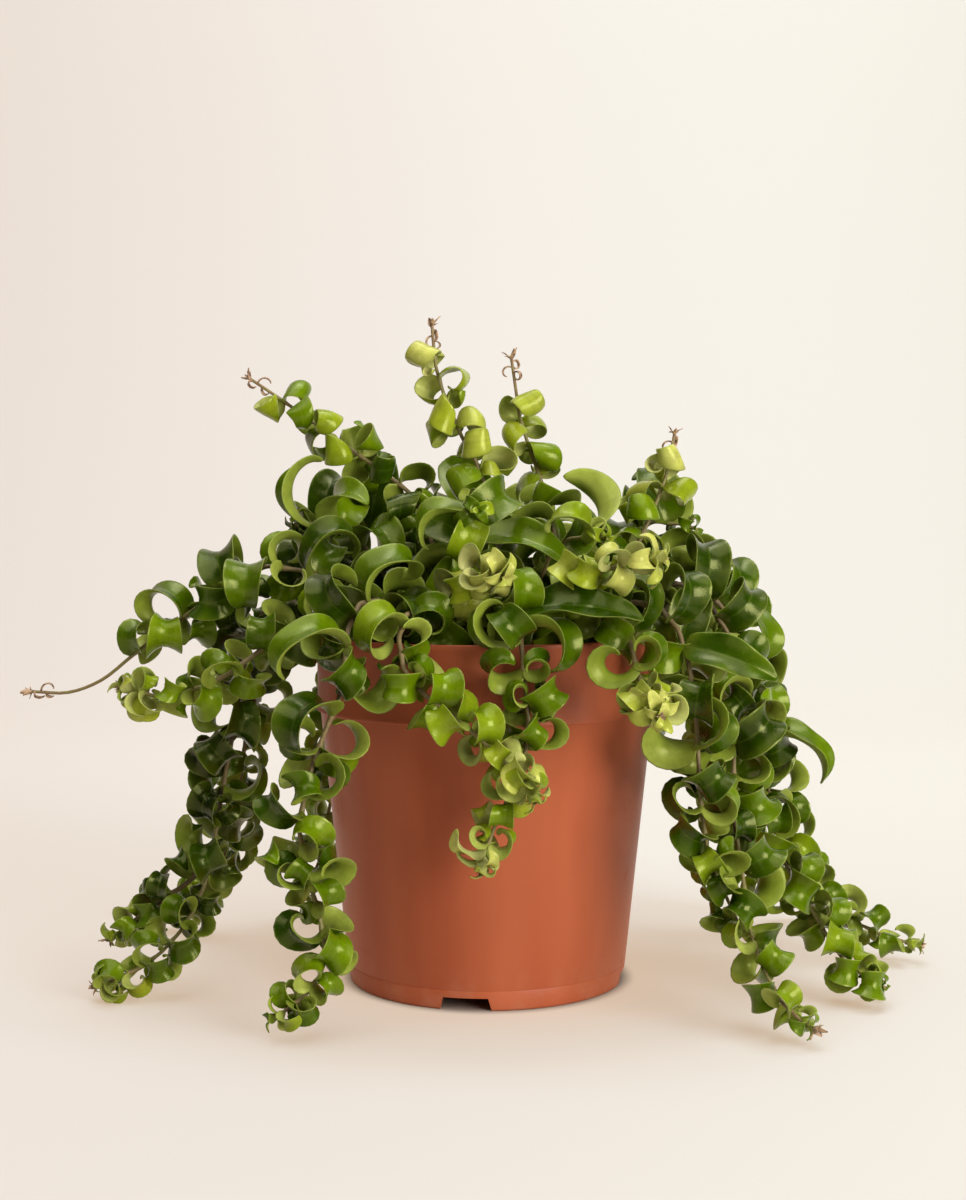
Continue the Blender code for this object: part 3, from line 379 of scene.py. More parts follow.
class Way:
    """A stem's middle line, measured along its length."""

    def __init__(self, points):
        self.points = smooth_way(points)
        self.reach = [0.0]
        for a, b in zip(self.points, self.points[1:]):
            self.reach.append(self.reach[-1] + (b - a).length)
        self.length = self.reach[-1]

    def at(self, distance):
        """The point at this distance from the start."""
        distance = min(max(distance, 0.0), self.length)
        i = max(bisect_left(self.reach, distance), 1)
        share = (distance - self.reach[i - 1]) / (self.reach[i] - self.reach[i - 1])
        return self.points[i - 1].lerp(self.points[i], share)


def stem_way(spec, grown):
    """The way of a stem: up from its foot in the soil, or out of the stem that it joins."""
    route = [Vector(point) for point in spec.route]
    if spec.joins:
        route[0] = nearest_on_line(route[0], grown[spec.joins]["tube"])
        return Way(route)
    return Way([Vector((*spec.base, height)) for height in (STEM_FOOT, STEM_COLLAR)] + route)


def nearest_on_line(point, line):
    """The point of a broken line that is nearest to the given one."""
    found = []
    for a, b in zip(line, line[1:]):
        share = (point - a).dot(b - a) / (b - a).length_squared
        found.append(a.lerp(b, min(max(share, 0.0), 1.0)))
    return min(found, key=lambda place: (place - point).length)


def pair_places(spec, way):
    """Distances along the stem at which the pairs of leaves grow, and where they start and end."""
    start = spec.spacing[0] * FIRST_PAIR
    if not spec.joins:
        start += STEM_STRAIGHT - STEM_FOOT
    end = way.length - spec.bare
    places = []
    here = start
    while here < end:
        places.append(here)
        here += between(spec.spacing, (here - start) / (end - start))
    return places, start, end


def grow_stem(spec, grown):
    """A stem's tube, the place, directions and share of the way of each pair, and a line
    through all these places.
    """
    way = stem_way(spec, grown)
    places, start, end = pair_places(spec, way)
    stops = [0.0]
    if not spec.joins:
        stops.append(STEM_STRAIGHT - STEM_FOOT)
    stops += [(a + b) / 2 for a, b in zip(places, places[1:])]
    stops.append(min(way.length, places[-1] + spec.spacing[1] / 2))
    while way.length - stops[-1] > STEM_STEP:
        stops.append(stops[-1] + STEM_STEP)
    if way.length - stops[-1] > 1.0:
        stops.append(way.length)
    tube = [way.at(stop) for stop in stops]
    pairs = []
    across = Vector((1.0, 0.0, 0.0))
    for place in places:
        index = max(i for i in range(len(stops)) if stops[i] <= place)
        index = min(index, len(stops) - 2)
        share = (place - stops[index]) / (stops[index + 1] - stops[index])
        root = tube[index].lerp(tube[index + 1], share)
        along = (tube[index + 1] - tube[index]).normalized()
        across = square_to(across, along)
        pairs.append((root, along, across, (place - start) / (end - start)))
    knots = sorted(list(zip(stops, tube)) + [(place, pair[0]) for place, pair in zip(places, pairs)],
                   key=lambda knot: knot[0])
    return {"tube": tube, "pairs": pairs, "line": [knot[1] for knot in knots], "spec": spec}


def stem_radius(share):
    """A stem's radius at a share of the way to its tip."""
    return between(STEM_RADIUS, share)


def leaf_stations(leaf, cuts):
    """Middle, side and outward directions of the blade at each cut, from root to tip.

    The blade starts out along the leaf's own outward direction, tipped towards the stem's
    tip, and curls back in a ring that tightens to the leaf's tip.
    """
    cross = leaf.along.cross(leaf.out)
    drift = math.radians(leaf.drift)
    rate = math.radians(leaf.curl) / (1 + LEAF_CURL_GROWTH / 2)
    place = leaf.root.copy()
    stations = []
    wanted = list(cuts)
    for step in range(LEAF_STEPS + 1):
        u = step / LEAF_STEPS
        turn = math.radians(leaf.start) - rate * (u + LEAF_CURL_GROWTH * u * u / 2)
        flat = leaf.out * math.cos(turn) + leaf.along * math.sin(turn)
        ahead = flat * math.cos(drift) + cross * math.sin(drift)
        outward = leaf.along * math.cos(turn) - leaf.out * math.sin(turn)
        if wanted and u >= wanted[0] - 0.5 / LEAF_STEPS:
            spin = Matrix.Rotation(math.radians(leaf.twist) * u, 3, ahead)
            side = spin @ outward.cross(ahead)
            stations.append((wanted.pop(0), place.copy(), side, spin @ outward))
        place += ahead * (leaf.length / LEAF_STEPS)
    return stations


def leaf_half_width(leaf, u):
    """Half the blade's width, which is largest before the middle and falls to a pointed tip."""
    widest = LEAF_SWELL / (LEAF_SWELL + LEAF_TAPER)
    most = widest ** LEAF_SWELL * (1 - widest) ** LEAF_TAPER
    return leaf.width / 2 * u ** LEAF_SWELL * (1 - u) ** LEAF_TAPER / most


def leaf_tree(leaf, clear):
    """A search tree of the plain keeled leaf with room round it, off its stem, and its points."""
    cuts = next(cuts for shortest, cuts in LEAF_CUTS if leaf.length >= shortest)
    stations = leaf_stations(leaf, cuts)
    tip = stations[-1][1]
    ahead = (tip - stations[-2][1]).normalized()
    points = [leaf.root + leaf.out * (leaf.radius + 2 * LEAF_CLEAR), tip + ahead * clear]
    for u, middle, side, outward in stations[1:-1]:
        half = leaf_half_width(leaf, u) + clear
        rise = LEAF_CHANNEL * 2 * half + clear
        keel = (LEAF_FOOT_KEEL if u == cuts[1] else LEAF_KEEL) + clear
        points += [middle - side * half + outward * rise, middle + side * half + outward * rise,
                   middle - outward * keel]
    faces = []
    last = len(points) - 3
    for a, b in ((0, 1), (0, 2), (1, 2)):
        faces += [(0, 2 + a, 2 + b), (1, last + a, last + b)]
        for left in range(2, last, 3):
            here, beside = left + a, left + b
            faces += [(here, here + 3, beside + 3), (here, beside + 3, beside)]
    return BVHTree.FromPolygons(points, faces), points


def leaf_for(spec, index, pair_number, side, pair, attempt):
    """The leaf on one side of a pair, as listed or by chance, set in the way that the attempt says."""
    root, along, across, share = pair
    turn, more_curl, size = attempt
    chosen = CHOSEN.get((spec.name, pair_number, side))
    if chosen:
        out = Vector(chosen.out).normalized()
        along = square_to(Vector(chosen.face), out)
        return Leaf(root, along, turn_about(out, along, turn / 2), chosen.length * size,
                    chosen.width * size, min(chosen.curl + more_curl, MOST_CURL), chosen.start,
                    0.0, 0.0, stem_radius(share))
    draw = random.Random(SEED + 1000 * index + 10 * pair_number + side)

    def chance(most):
        return draw.uniform(-most, most)

    out = turn_about(across, along, 90 * pair_number + SIDE_TURNS[side] + chance(TURN_SPREAD) + turn)
    along = turn_about(along, out, chance(FACE_SPREAD))
    length = leaf_length(spec, pair) * size * draw.uniform(1 - SIZE_SPREAD, 1 + SIZE_SPREAD)
    curl = between(spec.curl, share) + chance(CURL_SPREAD)
    start = between(spec.lean, share) + chance(START_SPREAD)
    drift = chance(DRIFT_SPREAD)
    twist = chance(TWIST_SPREAD)
    width = length * between(spec.width, share)
    return Leaf(root, along, out, length, width, min(curl + more_curl, MOST_CURL), start, drift,
                twist, stem_radius(share))


def leaf_length(spec, pair):
    """How long the leaves of a pair are, before their own small differences."""
    return between(spec.lengths, pair[3] ** LEAF_FALL)


def grow_leaves(grown):
    """The leaves of the solid model, and then those that it leaves out, for each stem.

    Each of the first is set so that it touches nothing but its own stem. The others fill the
    room between them, and may just touch.
    """
    fixed = [pot_guard()] + [tube_guard(data["tube"]) for data in grown.values()]
    placed = []
    leaves = {name: [] for name in grown}
    for kind, clear, touching in ROUNDS:
        for index, (name, data) in enumerate(grown.items()):
            for pair_number, pair in enumerate(data["pairs"]):
                for side in range(len(SIDE_TURNS)):
                    if kind != leaf_kind(data["spec"], pair_number, side, pair):
                        continue
                    seat = (data["spec"], index, pair_number, side, pair)
                    leaf = clear_leaf(seat, placed, fixed, clear, touching)
                    if leaf:
                        leaves[name].append((leaf, pair[3]))
    return leaves


def leaf_kind(spec, pair_number, side, pair):
    """The round in which this leaf is set."""
    by_hand = (spec.name, pair_number, side) in CHOSEN
    if side > 1:
        return "mound" if by_hand or pair[3] < MOUND_END else "more"
    if by_hand:
        return "chosen"
    left_out = leaf_length(spec, pair) < BIG_LEAF and (pair_number // 2 + side) % 2 == 1
    return "left out" if left_out else "main"


def clear_leaf(seat, placed, fixed, clear, touching):
    """The first way to set a leaf on its seat in which it touches no more than it may, or None."""
    for attempt in TRIES:
        leaf = leaf_for(*seat, attempt)
        tree, points = leaf_tree(leaf, clear)
        middle = sum(points, Vector()) / len(points)
        if is_clear(tree, points, middle, placed, fixed, touching):
            placed.append((middle, tree))
            return leaf
    return None


def is_clear(tree, points, middle, placed, fixed, touching):
    """Whether a leaf stays above the surface and off the pot, the soil, stems and leaves.

    It may cross up to this many pairs of the faces of other leaves.
    """
    if min(point.z for point in points) < GAP + LEAF_CLEAR:
        return False
    if any(tree.overlap(other) for other in fixed):
        return False
    crossed = 0
    for place, other in placed:
        if (place - middle).length < LEAF_REACH:
            crossed += len(tree.overlap(other))
            if crossed > touching:
                return False
    return True


def pot_guard():
    """A search tree of the pot's outside and inside down to the soil, and of the soil's top."""
    top = SOIL_EDGE_HEIGHT + SOIL_DOME + SOIL_LUMP
    profile = [(0.0, top), (POT_RIM_RADIUS - POT_WALL, top), (POT_RIM_RADIUS - POT_WALL, POT_HEIGHT),
               (POT_RIM_RADIUS, POT_HEIGHT), (POT_RIM_RADIUS, BAND_BOTTOM),
               (POT_WALL_RADIUS, BAND_BOTTOM), (POT_FOOT_RADIUS, 0.0)]
    angles = [2 * math.pi * j / SIDES for j in range(SIDES)]
    return skin_tree([[Vector((radius * math.cos(angle), radius * math.sin(angle), height))
                       for angle in angles] for radius, height in profile])


def skin_tree(rings):
    """A search tree of the skin through rings of points."""
    around = len(rings[0])
    faces = []
    for i in range(1, len(rings)):
        for j in range(around):
            here = i * around + j
            beside = i * around + (j + 1) % around
            faces.append((here, beside, beside - around, here - around))
    return BVHTree.FromPolygons([point for ring in rings for point in ring], faces)


def tube_rings(line, radii, sides, way_round=1):
    """Rings of points round a line, one of each radius at each of its points."""
    angles = [way_round * 2 * math.pi * j / sides for j in range(sides)]
    across = Vector((1.0, 0.0, 0.0))
    rings = []
    for i, (place, radius) in enumerate(zip(line, radii)):
        along = (line[min(i + 1, len(line) - 1)] - line[max(i - 1, 0)]).normalized()
        across = square_to(across, along)
        beside = along.cross(across)
        rings.append([place + (across * math.cos(angle) + beside * math.sin(angle)) * radius
                      for angle in angles])
    return rings


def tube_guard(line):
    """A search tree of a stem's tube with the room that leaves keep to it."""
    radii = [stem_radius(i / (len(line) - 1)) + LEAF_CLEAR for i in range(len(line))]
    return skin_tree(tube_rings(line, radii, GUARD_SIDES))


# How pale each stem's leaves are, from its base to its tip: 0 is deep green and 1 pale yellow
TONES = {
    "front_left": (0.28, 0.50), "front_diagonal": (0.40, 0.85), "front_middle": (0.30, 0.82),
    "front_right": (0.30, 1.0), "left_low": (0.34, 0.74), "left_long": (0.30, 0.50),
    "left_hanging": (0.07, 0.70), "left_branch": (0.12, 0.70), "upper_left": (0.28, 0.62),
    "upper_middle_left": (0.46, 0.86), "upper_middle_right": (0.46, 0.84),
    "upper_right": (0.40, 0.78), "yellow_right": (0.55, 0.95), "yellow_middle": (0.55, 1.0),
    "right_front": (0.26, 0.55), "right_middle": (0.28, 0.50), "right_back": (0.26, 0.52),
    "right_short": (0.30, 0.50), "crown_middle": (0.44, 0.54), "crown_front_right": (0.42, 0.52),
    "crown_left": (0.26, 0.36), "crown_right": (0.40, 0.48),
}
OTHER_TONE = (0.24, 0.50)
TONE_RISE = 1.5               # above 1, a stem stays green for more of its length
LATE_TONES = {"front_right": 5.0, "left_low": 3.0, "front_diagonal": 2.0, "front_middle": 2.5,
              "left_hanging": 5.0, "left_branch": 2.5}

# Colours, as red, green and blue from 0 to 255 on a screen. In a row of them, each has its place
# along the leaf's tone, the stem or the noise
LEAF_UPPER = ((0.0, (20, 34, 0)), (0.3, (54, 83, 0)), (0.55, (119, 149, 2)),
              (0.78, (178, 190, 40)), (1.0, (216, 216, 108)))
LEAF_UNDER = ((0.0, (66, 82, 8)), (0.3, (144, 160, 48)), (0.6, (190, 202, 86)),
              (1.0, (228, 226, 140)))
LEAF_FOOT = (150, 158, 60)
LEAF_FADE = (136, 152, 40)
LEAF_MARGIN = (164, 172, 88)
LEAF_RIB = (140, 160, 60)
BARK = ((0.0, (104, 84, 56)), (0.55, (122, 104, 62)), (0.85, (124, 118, 60)), (1.0, (126, 100, 66)))
SEPAL_BROWNS = ((0.35, (90, 60, 44)), (0.6, (178, 146, 112)))
SOIL_BROWNS = ((0.35, (26, 18, 13)), (0.65, (74, 54, 38)))
POT_LIGHT = (172, 91, 59)
POT_DARK = (160, 80, 50)
POT_DUST = (170, 116, 90)
POT_FLOW = (1.0, 1.0, 0.12)   # the colour's flow marks are drawn out upwards
# The paper's colour at the left and at the right: painted light, lighter towards the right
PAPER_LEFT_SHADED = (209, 230, 245)
PAPER_RIGHT_LIT = (217, 245, 255)
PAPER_FOOT_SHADOW = (150, 138, 126)   # painted contact shadow, close round the pot's foot
# painted warm light bounced from the pot onto the paper, within 5 cm of its foot
PAPER_POT_BOUNCE = (196, 168, 148)
PAPER_GLOW = (242, 208, 175)
STUDIO_AIR = (250, 244, 236)
LEAF_SHINE = (1.0, 1.0, 0.4, 1.0)   # of the leaves' reflections, as a shader takes it
GLOW = 0.58                   # strength of the paper's own light, beyond the pot's foot
PAPER_PAINTED_SHADE = (0.445, 0.345)  # painted shade: brightness of its colour at the back and at the front
AIR_LIGHT = 0.06


def screen_colour(red, green, blue):
    """A colour given as on a screen, 0 to 255, as the linear numbers that a shader takes."""
    def linear(value):
        value /= 255
        return value / 12.92 if value <= 0.04045 else ((value + 0.055) / 1.055) ** 2.4
    return linear(red), linear(green), linear(blue), 1.0


class Look:
    """One material, with short ways to add and join its nodes."""

    def __init__(self, name):
        self.material = bpy.data.materials.new(name)
        self.material.use_nodes = True
        self.tree = self.material.node_tree
        self.shader = self.tree.nodes["Principled BSDF"]

    def put(self, target, value):
        """Give a socket a value or a screen's colour, or join another node's output to it."""
        if isinstance(value, bpy.types.NodeSocket):
            self.tree.links.new(value, target)
        elif target.type == "RGBA" and len(value) == 3:
            target.default_value = screen_colour(*value)
        else:
            target.default_value = value

    def node(self, kind, inputs=None, **settings):
        """Add a node with its settings and its inputs."""
        made = self.tree.nodes.new(kind)
        for key, value in settings.items():
            setattr(made, key, value)
        for key, value in (inputs or {}).items():
            self.put(made.inputs[key], value)
        return made

    def place(self):
        """The point's place on the object, in metres."""
        return self.node("ShaderNodeTexCoord").outputs["Object"]

    def noise(self, size, detail=2.0, where=None):
        """Soft noise whose blotches are about this big, in metres."""
        made = self.node("ShaderNodeTexNoise", {"Vector": where or self.place(), "Scale": 1 / size,
                                                "Detail": detail})
        return made.outputs["Fac"]

    def vary(self, size, low, high, detail=2.0, where=None):
        """Soft noise, spread over these values."""
        return self.span(self.noise(size, detail, where), 0.3, 0.7, low, high)

    def ramp(self, value, stops):
        """Colours along a value from 0 to 1, as (place, colour) pairs."""
        made = self.node("ShaderNodeValToRGB", {"Fac": value})
        elements = made.color_ramp.elements
        while len(elements) < len(stops):
            elements.new(0.5)
        for element, (place, colour) in zip(elements, stops):
            element.position = place
            element.color = screen_colour(*colour)
        return made.outputs["Color"]

    def span(self, value, low, high, to_low=0.0, to_high=1.0, smooth=False):
        """A value moved from one range to another, and kept inside it."""
        made = self.node("ShaderNodeMapRange", {"Value": value, "From Min": low, "From Max": high,
                                                "To Min": to_low, "To Max": to_high})
        made.interpolation_type = "SMOOTHSTEP" if smooth else "LINEAR"
        return made.outputs["Result"]

    def mix(self, share, first, second):
        """A mix of two colours by a share from 0 to 1."""
        made = self.node("ShaderNodeMix", data_type="RGBA")
        self.put(made.inputs[0], share)
        self.put(made.inputs[6], first)
        self.put(made.inputs[7], second)
        return made.outputs[2]

    def maths(self, operation, first, second):
        """One sum, product or the like of two values."""
        made = self.node("ShaderNodeMath", operation=operation)
        self.put(made.inputs[0], first)
        self.put(made.inputs[1], second)
        return made.outputs[0]

    def brightness(self, colour, value):
        """The colour made lighter or darker by a value round 1."""
        return self.node("ShaderNodeHueSaturation", {"Color": colour, "Value": value}).outputs["Color"]

    def bump(self, height, depth, strength=1.0):
        """Fine relief from a height, whose full range is this deep in metres."""
        made = self.node("ShaderNodeBump", {"Height": height, "Distance": depth, "Strength": strength})
        self.put(self.shader.inputs["Normal"], made.outputs["Normal"])

    def finish(self, **values):
        """Set the shader's own sockets."""
        for key, value in values.items():
            self.put(self.shader.inputs[key.replace("_", " ")], value)
        return self.material


def leaf_look():
    """Glossy leaves: green by their tone, paler below, with a thin pale margin and a faint rib."""
    look = Look("leaf")
    facts = look.node("ShaderNodeAttribute", attribute_name="leaf_facts")
    parts = look.node("ShaderNodeSeparateColor", {"Color": facts.outputs["Color"]})
    tone, across, along = parts.outputs
    under = facts.outputs["Alpha"]
    lengthwise = look.node("ShaderNodeCombineXYZ", {
        "X": look.maths("MULTIPLY", across, 6.0), "Y": look.maths("MULTIPLY", tone, 60.0),
        "Z": look.maths("MULTIPLY", along, 0.9)}).outputs["Vector"]
    streaks = look.vary(1.0, 0.94, 1.06, where=lengthwise)
    tone = look.maths("ADD", tone, look.vary(0.022, -0.06, 0.06))
    colour = look.mix(under, look.ramp(tone, LEAF_UPPER), look.ramp(tone, LEAF_UNDER))
    colour = look.mix(look.span(along, 0.16, 0.0, 0.0, 0.5), colour, LEAF_FOOT)
    fade = look.maths("MULTIPLY", look.span(across, 0.35, 1.0, 0.0, 0.3),
                      look.span(look.noise(0.011), 0.35, 0.6))
    colour = look.mix(fade, colour, LEAF_FADE)
    colour = look.mix(look.span(across, 0.9, 0.99, 0.0, 0.4, smooth=True), colour, LEAF_MARGIN)
    colour = look.mix(look.span(across, 0.10, 0.0, 0.0, 0.16, smooth=True), colour, LEAF_RIB)
    blotches = look.vary(0.006, 0.48, 0.68, 3.0)
    specks = look.vary(0.0007, 0.95, 1.05)
    colour = look.brightness(colour, look.maths("MULTIPLY", blotches, specks))
    colour = look.brightness(colour, streaks)
    rough = look.maths("ADD", look.vary(0.004, 0.18, 0.28), look.maths("MULTIPLY", under, 0.12))
    look.bump(look.maths("ADD", look.noise(0.0009), look.noise(0.005, 1.0)), 0.00012, 0.5)
    return look.finish(Base_Color=colour, Roughness=rough, Specular_IOR_Level=0.40,
                       Specular_Tint=LEAF_SHINE, Subsurface_Weight=0.08,
                       Subsurface_Radius=(0.0014, 0.0028, 0.0006), Subsurface_Scale=1.0)


def stem_look():
    """Woody stems: brown and grey at the base, greener to the tip."""
    look = Look("stem")
    facts = look.node("ShaderNodeAttribute", attribute_name="stem_facts")
    share = look.node("ShaderNodeSeparateColor", {"Color": facts.outputs["Color"]}).outputs[0]
    streaks = look.noise(0.002, 3.0)
    share = look.maths("ADD", share, look.span(streaks, 0.3, 0.7, -0.12, 0.12))
    colour = look.brightness(look.ramp(share, BARK), look.vary(0.0006, 0.75, 1.25))
    look.bump(streaks, 0.0003, 0.8)
    return look.finish(Base_Color=colour, Roughness=0.58)


def bract_look():
    """Small dry sepals at the tips, dark brown and tan in blotches."""
    look = Look("dry_tip")
    look.bump(look.noise(0.0005), 0.0001)
    return look.finish(Base_Color=look.ramp(look.noise(0.0018), SEPAL_BROWNS), Roughness=0.6)


def pot_look():
    """Moulded terracotta-coloured plastic, satin, with a very fine grain and faint scuffs."""
    look = Look("pot_plastic")
    place = look.place()
    height = look.node("ShaderNodeSeparateXYZ", {"Vector": place}).outputs["Z"]
    drawn = look.node("ShaderNodeMapping", {"Vector": place, "Scale": POT_FLOW}).outputs["Vector"]
    flow = look.noise(0.03, where=drawn)
    colour = look.mix(look.span(flow, 0.35, 0.65), POT_DARK, POT_LIGHT)
    dust = look.maths("MULTIPLY", look.span(height, 0.02, 0.0, 0.0, 0.35),
                      look.span(look.noise(0.007, 4.0), 0.45, 0.7))
    colour = look.mix(dust, colour, POT_DUST)
    scuffs = look.span(look.noise(0.012, 6.0), 0.62, 0.72, 0.0, 0.12)
    look.bump(look.noise(0.0006), 0.00006, 0.6)
    return look.finish(Base_Color=colour, Specular_IOR_Level=0.14,
                       Roughness=look.maths("ADD", look.vary(0.0012, 0.36, 0.42), scuffs))


def soil_look():
    """Dark moist potting soil."""
    look = Look("soil")
    look.bump(look.noise(0.0014, 6.0), 0.0012)
    return look.finish(Base_Color=look.ramp(look.noise(0.003, 6.0), SOIL_BROWNS), Roughness=0.95)


def wall_look():
    """Seamless paper behind and below the plant, with painted shade that makes it a little darker to
    the left and to the front.

    Beyond the pot's foot it also gives off a faint warm light, which softens the shadows. Close round
    the foot that light stops and a darker colour is mixed in, a painted contact shadow; a little
    further out there is painted warm light bounced from the pot.
    """
    look = Look("paper")
    where = look.node("ShaderNodeSeparateXYZ", {"Vector": look.place()})
    # Painted light: the paper's colour is made lighter towards the right
    painted_light_to_right = look.span(where.outputs["X"], -0.5, 0.5, smooth=True)
    colour = look.mix(painted_light_to_right, PAPER_LEFT_SHADED, PAPER_RIGHT_LIT)
    # Painted shade: the paper's colour is made darker towards the front
    front = look.span(where.outputs["Y"], 0.9, -0.1, *PAPER_PAINTED_SHADE, smooth=True)
    grain = look.vary(0.0015, 0.99, 1.01, 3.0)
    colour = look.brightness(colour, look.maths("MULTIPLY", front, grain))
    reach = look.node("ShaderNodeVectorMath", {0: look.place()}, operation="LENGTH").outputs["Value"]
    foot = POT_FOOT_RADIUS * MM
    # Edges of the painted contact shadow round the foot, where the paper's glow stops
    inner, outer = foot - 0.003, foot + 0.006
    # Painted contact shadow: a darker, warmer colour close round the pot's foot
    colour = look.mix(look.span(reach, outer, inner, smooth=True), colour, PAPER_FOOT_SHADOW)
    # Painted reflection: the pot's warm colour bounced onto the paper near its foot
    colour = look.mix(look.span(reach, foot + 0.05, foot, 0.0, 0.14), colour, PAPER_POT_BOUNCE)
    # The paper's glow is cut off under and close round the pot's foot, which paints its contact shadow
    return look.finish(Base_Color=colour, Roughness=0.9, Emission_Color=PAPER_GLOW,
                       Emission_Strength=look.span(reach, inner, outer, 0.0, GLOW, smooth=True))


def add_object(name, data):
    """Link a new object to the scene."""
    made = bpy.data.objects.new(name, data)
    bpy.context.scene.collection.objects.link(made)
    return made


def mesh_of(solid, name):
    """The mesh of a solid in the making, which ends with it."""
    mesh = bpy.data.meshes.new(name)
    solid.to_mesh(mesh)
    solid.free()
    return mesh


def add_piece(name, mesh, look, node):
    """Add a mesh as a smooth piece of the plant, in place of this node of the solid model."""
    mesh.materials.clear()
    mesh.materials.append(look)
    mesh.shade_smooth()
    piece = add_object(name, mesh)
    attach(piece, "root")
    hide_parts(node)


def add_grown(name, shapes, look, node, facts_name=""):
    """Join shapes in millimetres into one piece of a leafy stem.

    Each shape is its points, its faces and four looks values for each point.
    """
    points, faces, facts = [], [], []
    for more_points, more_faces, more_facts in shapes:
        start = len(points)
        points += more_points
        faces += [tuple(start + i for i in face) for face in more_faces]
        facts += more_facts
    mesh = bpy.data.meshes.new(name)
    mesh.from_pydata([point * MM for point in points], [], faces)
    if facts_name:
        layer = mesh.color_attributes.new(facts_name, "FLOAT_COLOR", "POINT")
        layer.data.foreach_set("color", [value for fact in facts for value in fact])
    add_piece(name, mesh, look, node)


def fine_leaf(leaf, tone, number, channel=LEAF_CHANNEL):
    """Points, faces and looks values of one smooth leaf: a blade closed all round."""
    big = leaf.length >= BIG_LEAF
    cuts = [step / LEAF_STEPS for step in range(0, LEAF_STEPS, BIG_STRIDE if big else SMALL_STRIDE)]
    stations = leaf_stations(leaf, cuts + [(LEAF_STEPS - 1) / LEAF_STEPS, 1.0])
    half_places = BIG_ACROSS if big else SMALL_ACROSS
    places = [-s for s in reversed(half_places)] + [0.0, *half_places]
    thick = BLADE[0] if big else BLADE[1] * min(leaf.length / THICK_FROM, 1.0)
    stalk = min(STALK, leaf.width / 4)
    draw = random.Random(number)
    phase = draw.uniform(0, 2 * math.pi)
    waves = draw.uniform(*WAVES)
    lean = draw.uniform(-WAVE_LEAN, WAVE_LEAN)
    points = [stations[0][1] - leaf.out * leaf.radius * LEAF_ROOT]
    facts = [(tone, 0.0, 0.0, 0.5)]
    for u, middle, side, outward in stations[:-1]:
        blade = leaf_half_width(leaf, u)
        half = max(blade, stalk * (1.0 - STALK_TAPER * u))
        body = thick * (1.0 if blade > 2 * stalk else NARROW_BLADE)
        body *= 1.0 - TIP_BLADE * u ** 4
        ring = []
        for s in places:
            rise = 2 * half * channel * abs(s) ** FLARE * min(blade / stalk / 4, 1.0)
            rise += half * WAVE * s * s * math.sin(2 * math.pi * waves * u + phase + lean * s)
            ring.append((s, middle + side * (half * s) + outward * rise))
        for s, place in ring:
            depth = body / 2 * math.sqrt(1 - s ** 4)
            groove = RIB_DEPTH if s == 0.0 and big else 0.0
            points.append(place + outward * (depth - groove))
            facts.append((tone, abs(s), u, 0.5 * (abs(s) == 1.0)))
        for s, place in reversed(ring[1:-1]):
            points.append(place - outward * (body / 2 * math.sqrt(1 - s ** 4)))
            facts.append((tone, abs(s), u, 1.0))
    points.append(stations[-1][1])
    facts.append((tone, 1.0, 1.0, 0.5))
    return points, tube_faces(len(points), 2 * len(places) - 2), facts


def tube_faces(count, around):
    """Faces of a closed tube: a first point, rings of points, and a last point."""
    rings = (count - 2) // around
    faces = []
    for j in range(around):
        k = (j + 1) % around
        faces.append((0, 1 + j, 1 + k))
        for i in range(rings - 1):
            here = 1 + i * around
            faces.append((here + j, here + around + j, here + around + k, here + k))
        last = 1 + (rings - 1) * around
        faces.append((count - 1, last + k, last + j))
    return faces


def leaf_tone(name, share, number):
    """The tone of a leaf this far along its stem, a little different from its neighbours'."""
    tone = between(TONES.get(name, OTHER_TONE), share ** LATE_TONES.get(name, TONE_RISE))
    tone += random.Random(number).uniform(-TONE_SPREAD, TONE_SPREAD)
    return min(max(tone, 0.0), 1.0)


def fine_stem(data):
    """Points, faces and looks values of a stem's round tube, thicker where its leaves grow."""
    line = smooth_way(data["line"], STEM_SPAN)
    shares = [i / (len(line) - 1) for i in range(len(line))]
    radii = []
    for place, share in zip(line, shares):
        near = min((place - pair[0]).length for pair in data["pairs"])
        radius = stem_radius(share) * (STEM_SLIM - TIP_THINNING * share)
        radii.append(radius * (1 + NODE_SWELL * math.exp(-(near / NODE_REACH) ** 2)))
    rings = tube_rings(line, radii, STEM_SIDES, -1)
    tip = line[-1] + (line[-1] - line[-2]).normalized() * STEM_RADIUS[1] * STEM_POINT
    points = [line[0]] + [point for ring in rings for point in ring] + [tip]
    facts = [(share, 0.0, 0.0, 1.0) for share in [0.0] + [s for s in shares for _ in rings[0]] + [1.0]]
    return points, tube_faces(len(points), STEM_SIDES), facts


def stem_tip(data):
    """The end of a stem, the way that it points, and a direction square to that."""
    tube = data["tube"]
    along = (tube[-1] - tube[-2]).normalized()
    return tube[-1], along, along.orthogonal().normalized()


def tip_leaves(data, number):
    """The young leaves round the tip of a stem, smaller and more folded towards its end."""
    tip, along, across = stem_tip(data)
    draw = random.Random(number)
    name = data["spec"].name
    count = ROSETTES.get(name, TIP_LEAVES)
    lengths = ROSETTE_LENGTH if name in ROSETTES else TIP_LENGTH
    leaves = []
    for i in range(count):
        share = i / (count - 1)
        out = turn_about(across, along, TIP_TURN * i + draw.uniform(-20, 20))
        length = between(lengths, share) + draw.uniform(-1, 1)
        root = tip - along * (TIP_STEP * (count - 1 - i) + TIP_FOOT)
        leaves.append(Leaf(root, along, out, length, length * TIP_WIDTH,
                           draw.uniform(*TIP_CURL) - TIP_CURL_LOSS * share,
                           draw.uniform(*TIP_START) + TIP_START_GAIN * share,
                           draw.uniform(-20, 20), draw.uniform(-30, 30), STEM_RADIUS[1]))
    return leaves


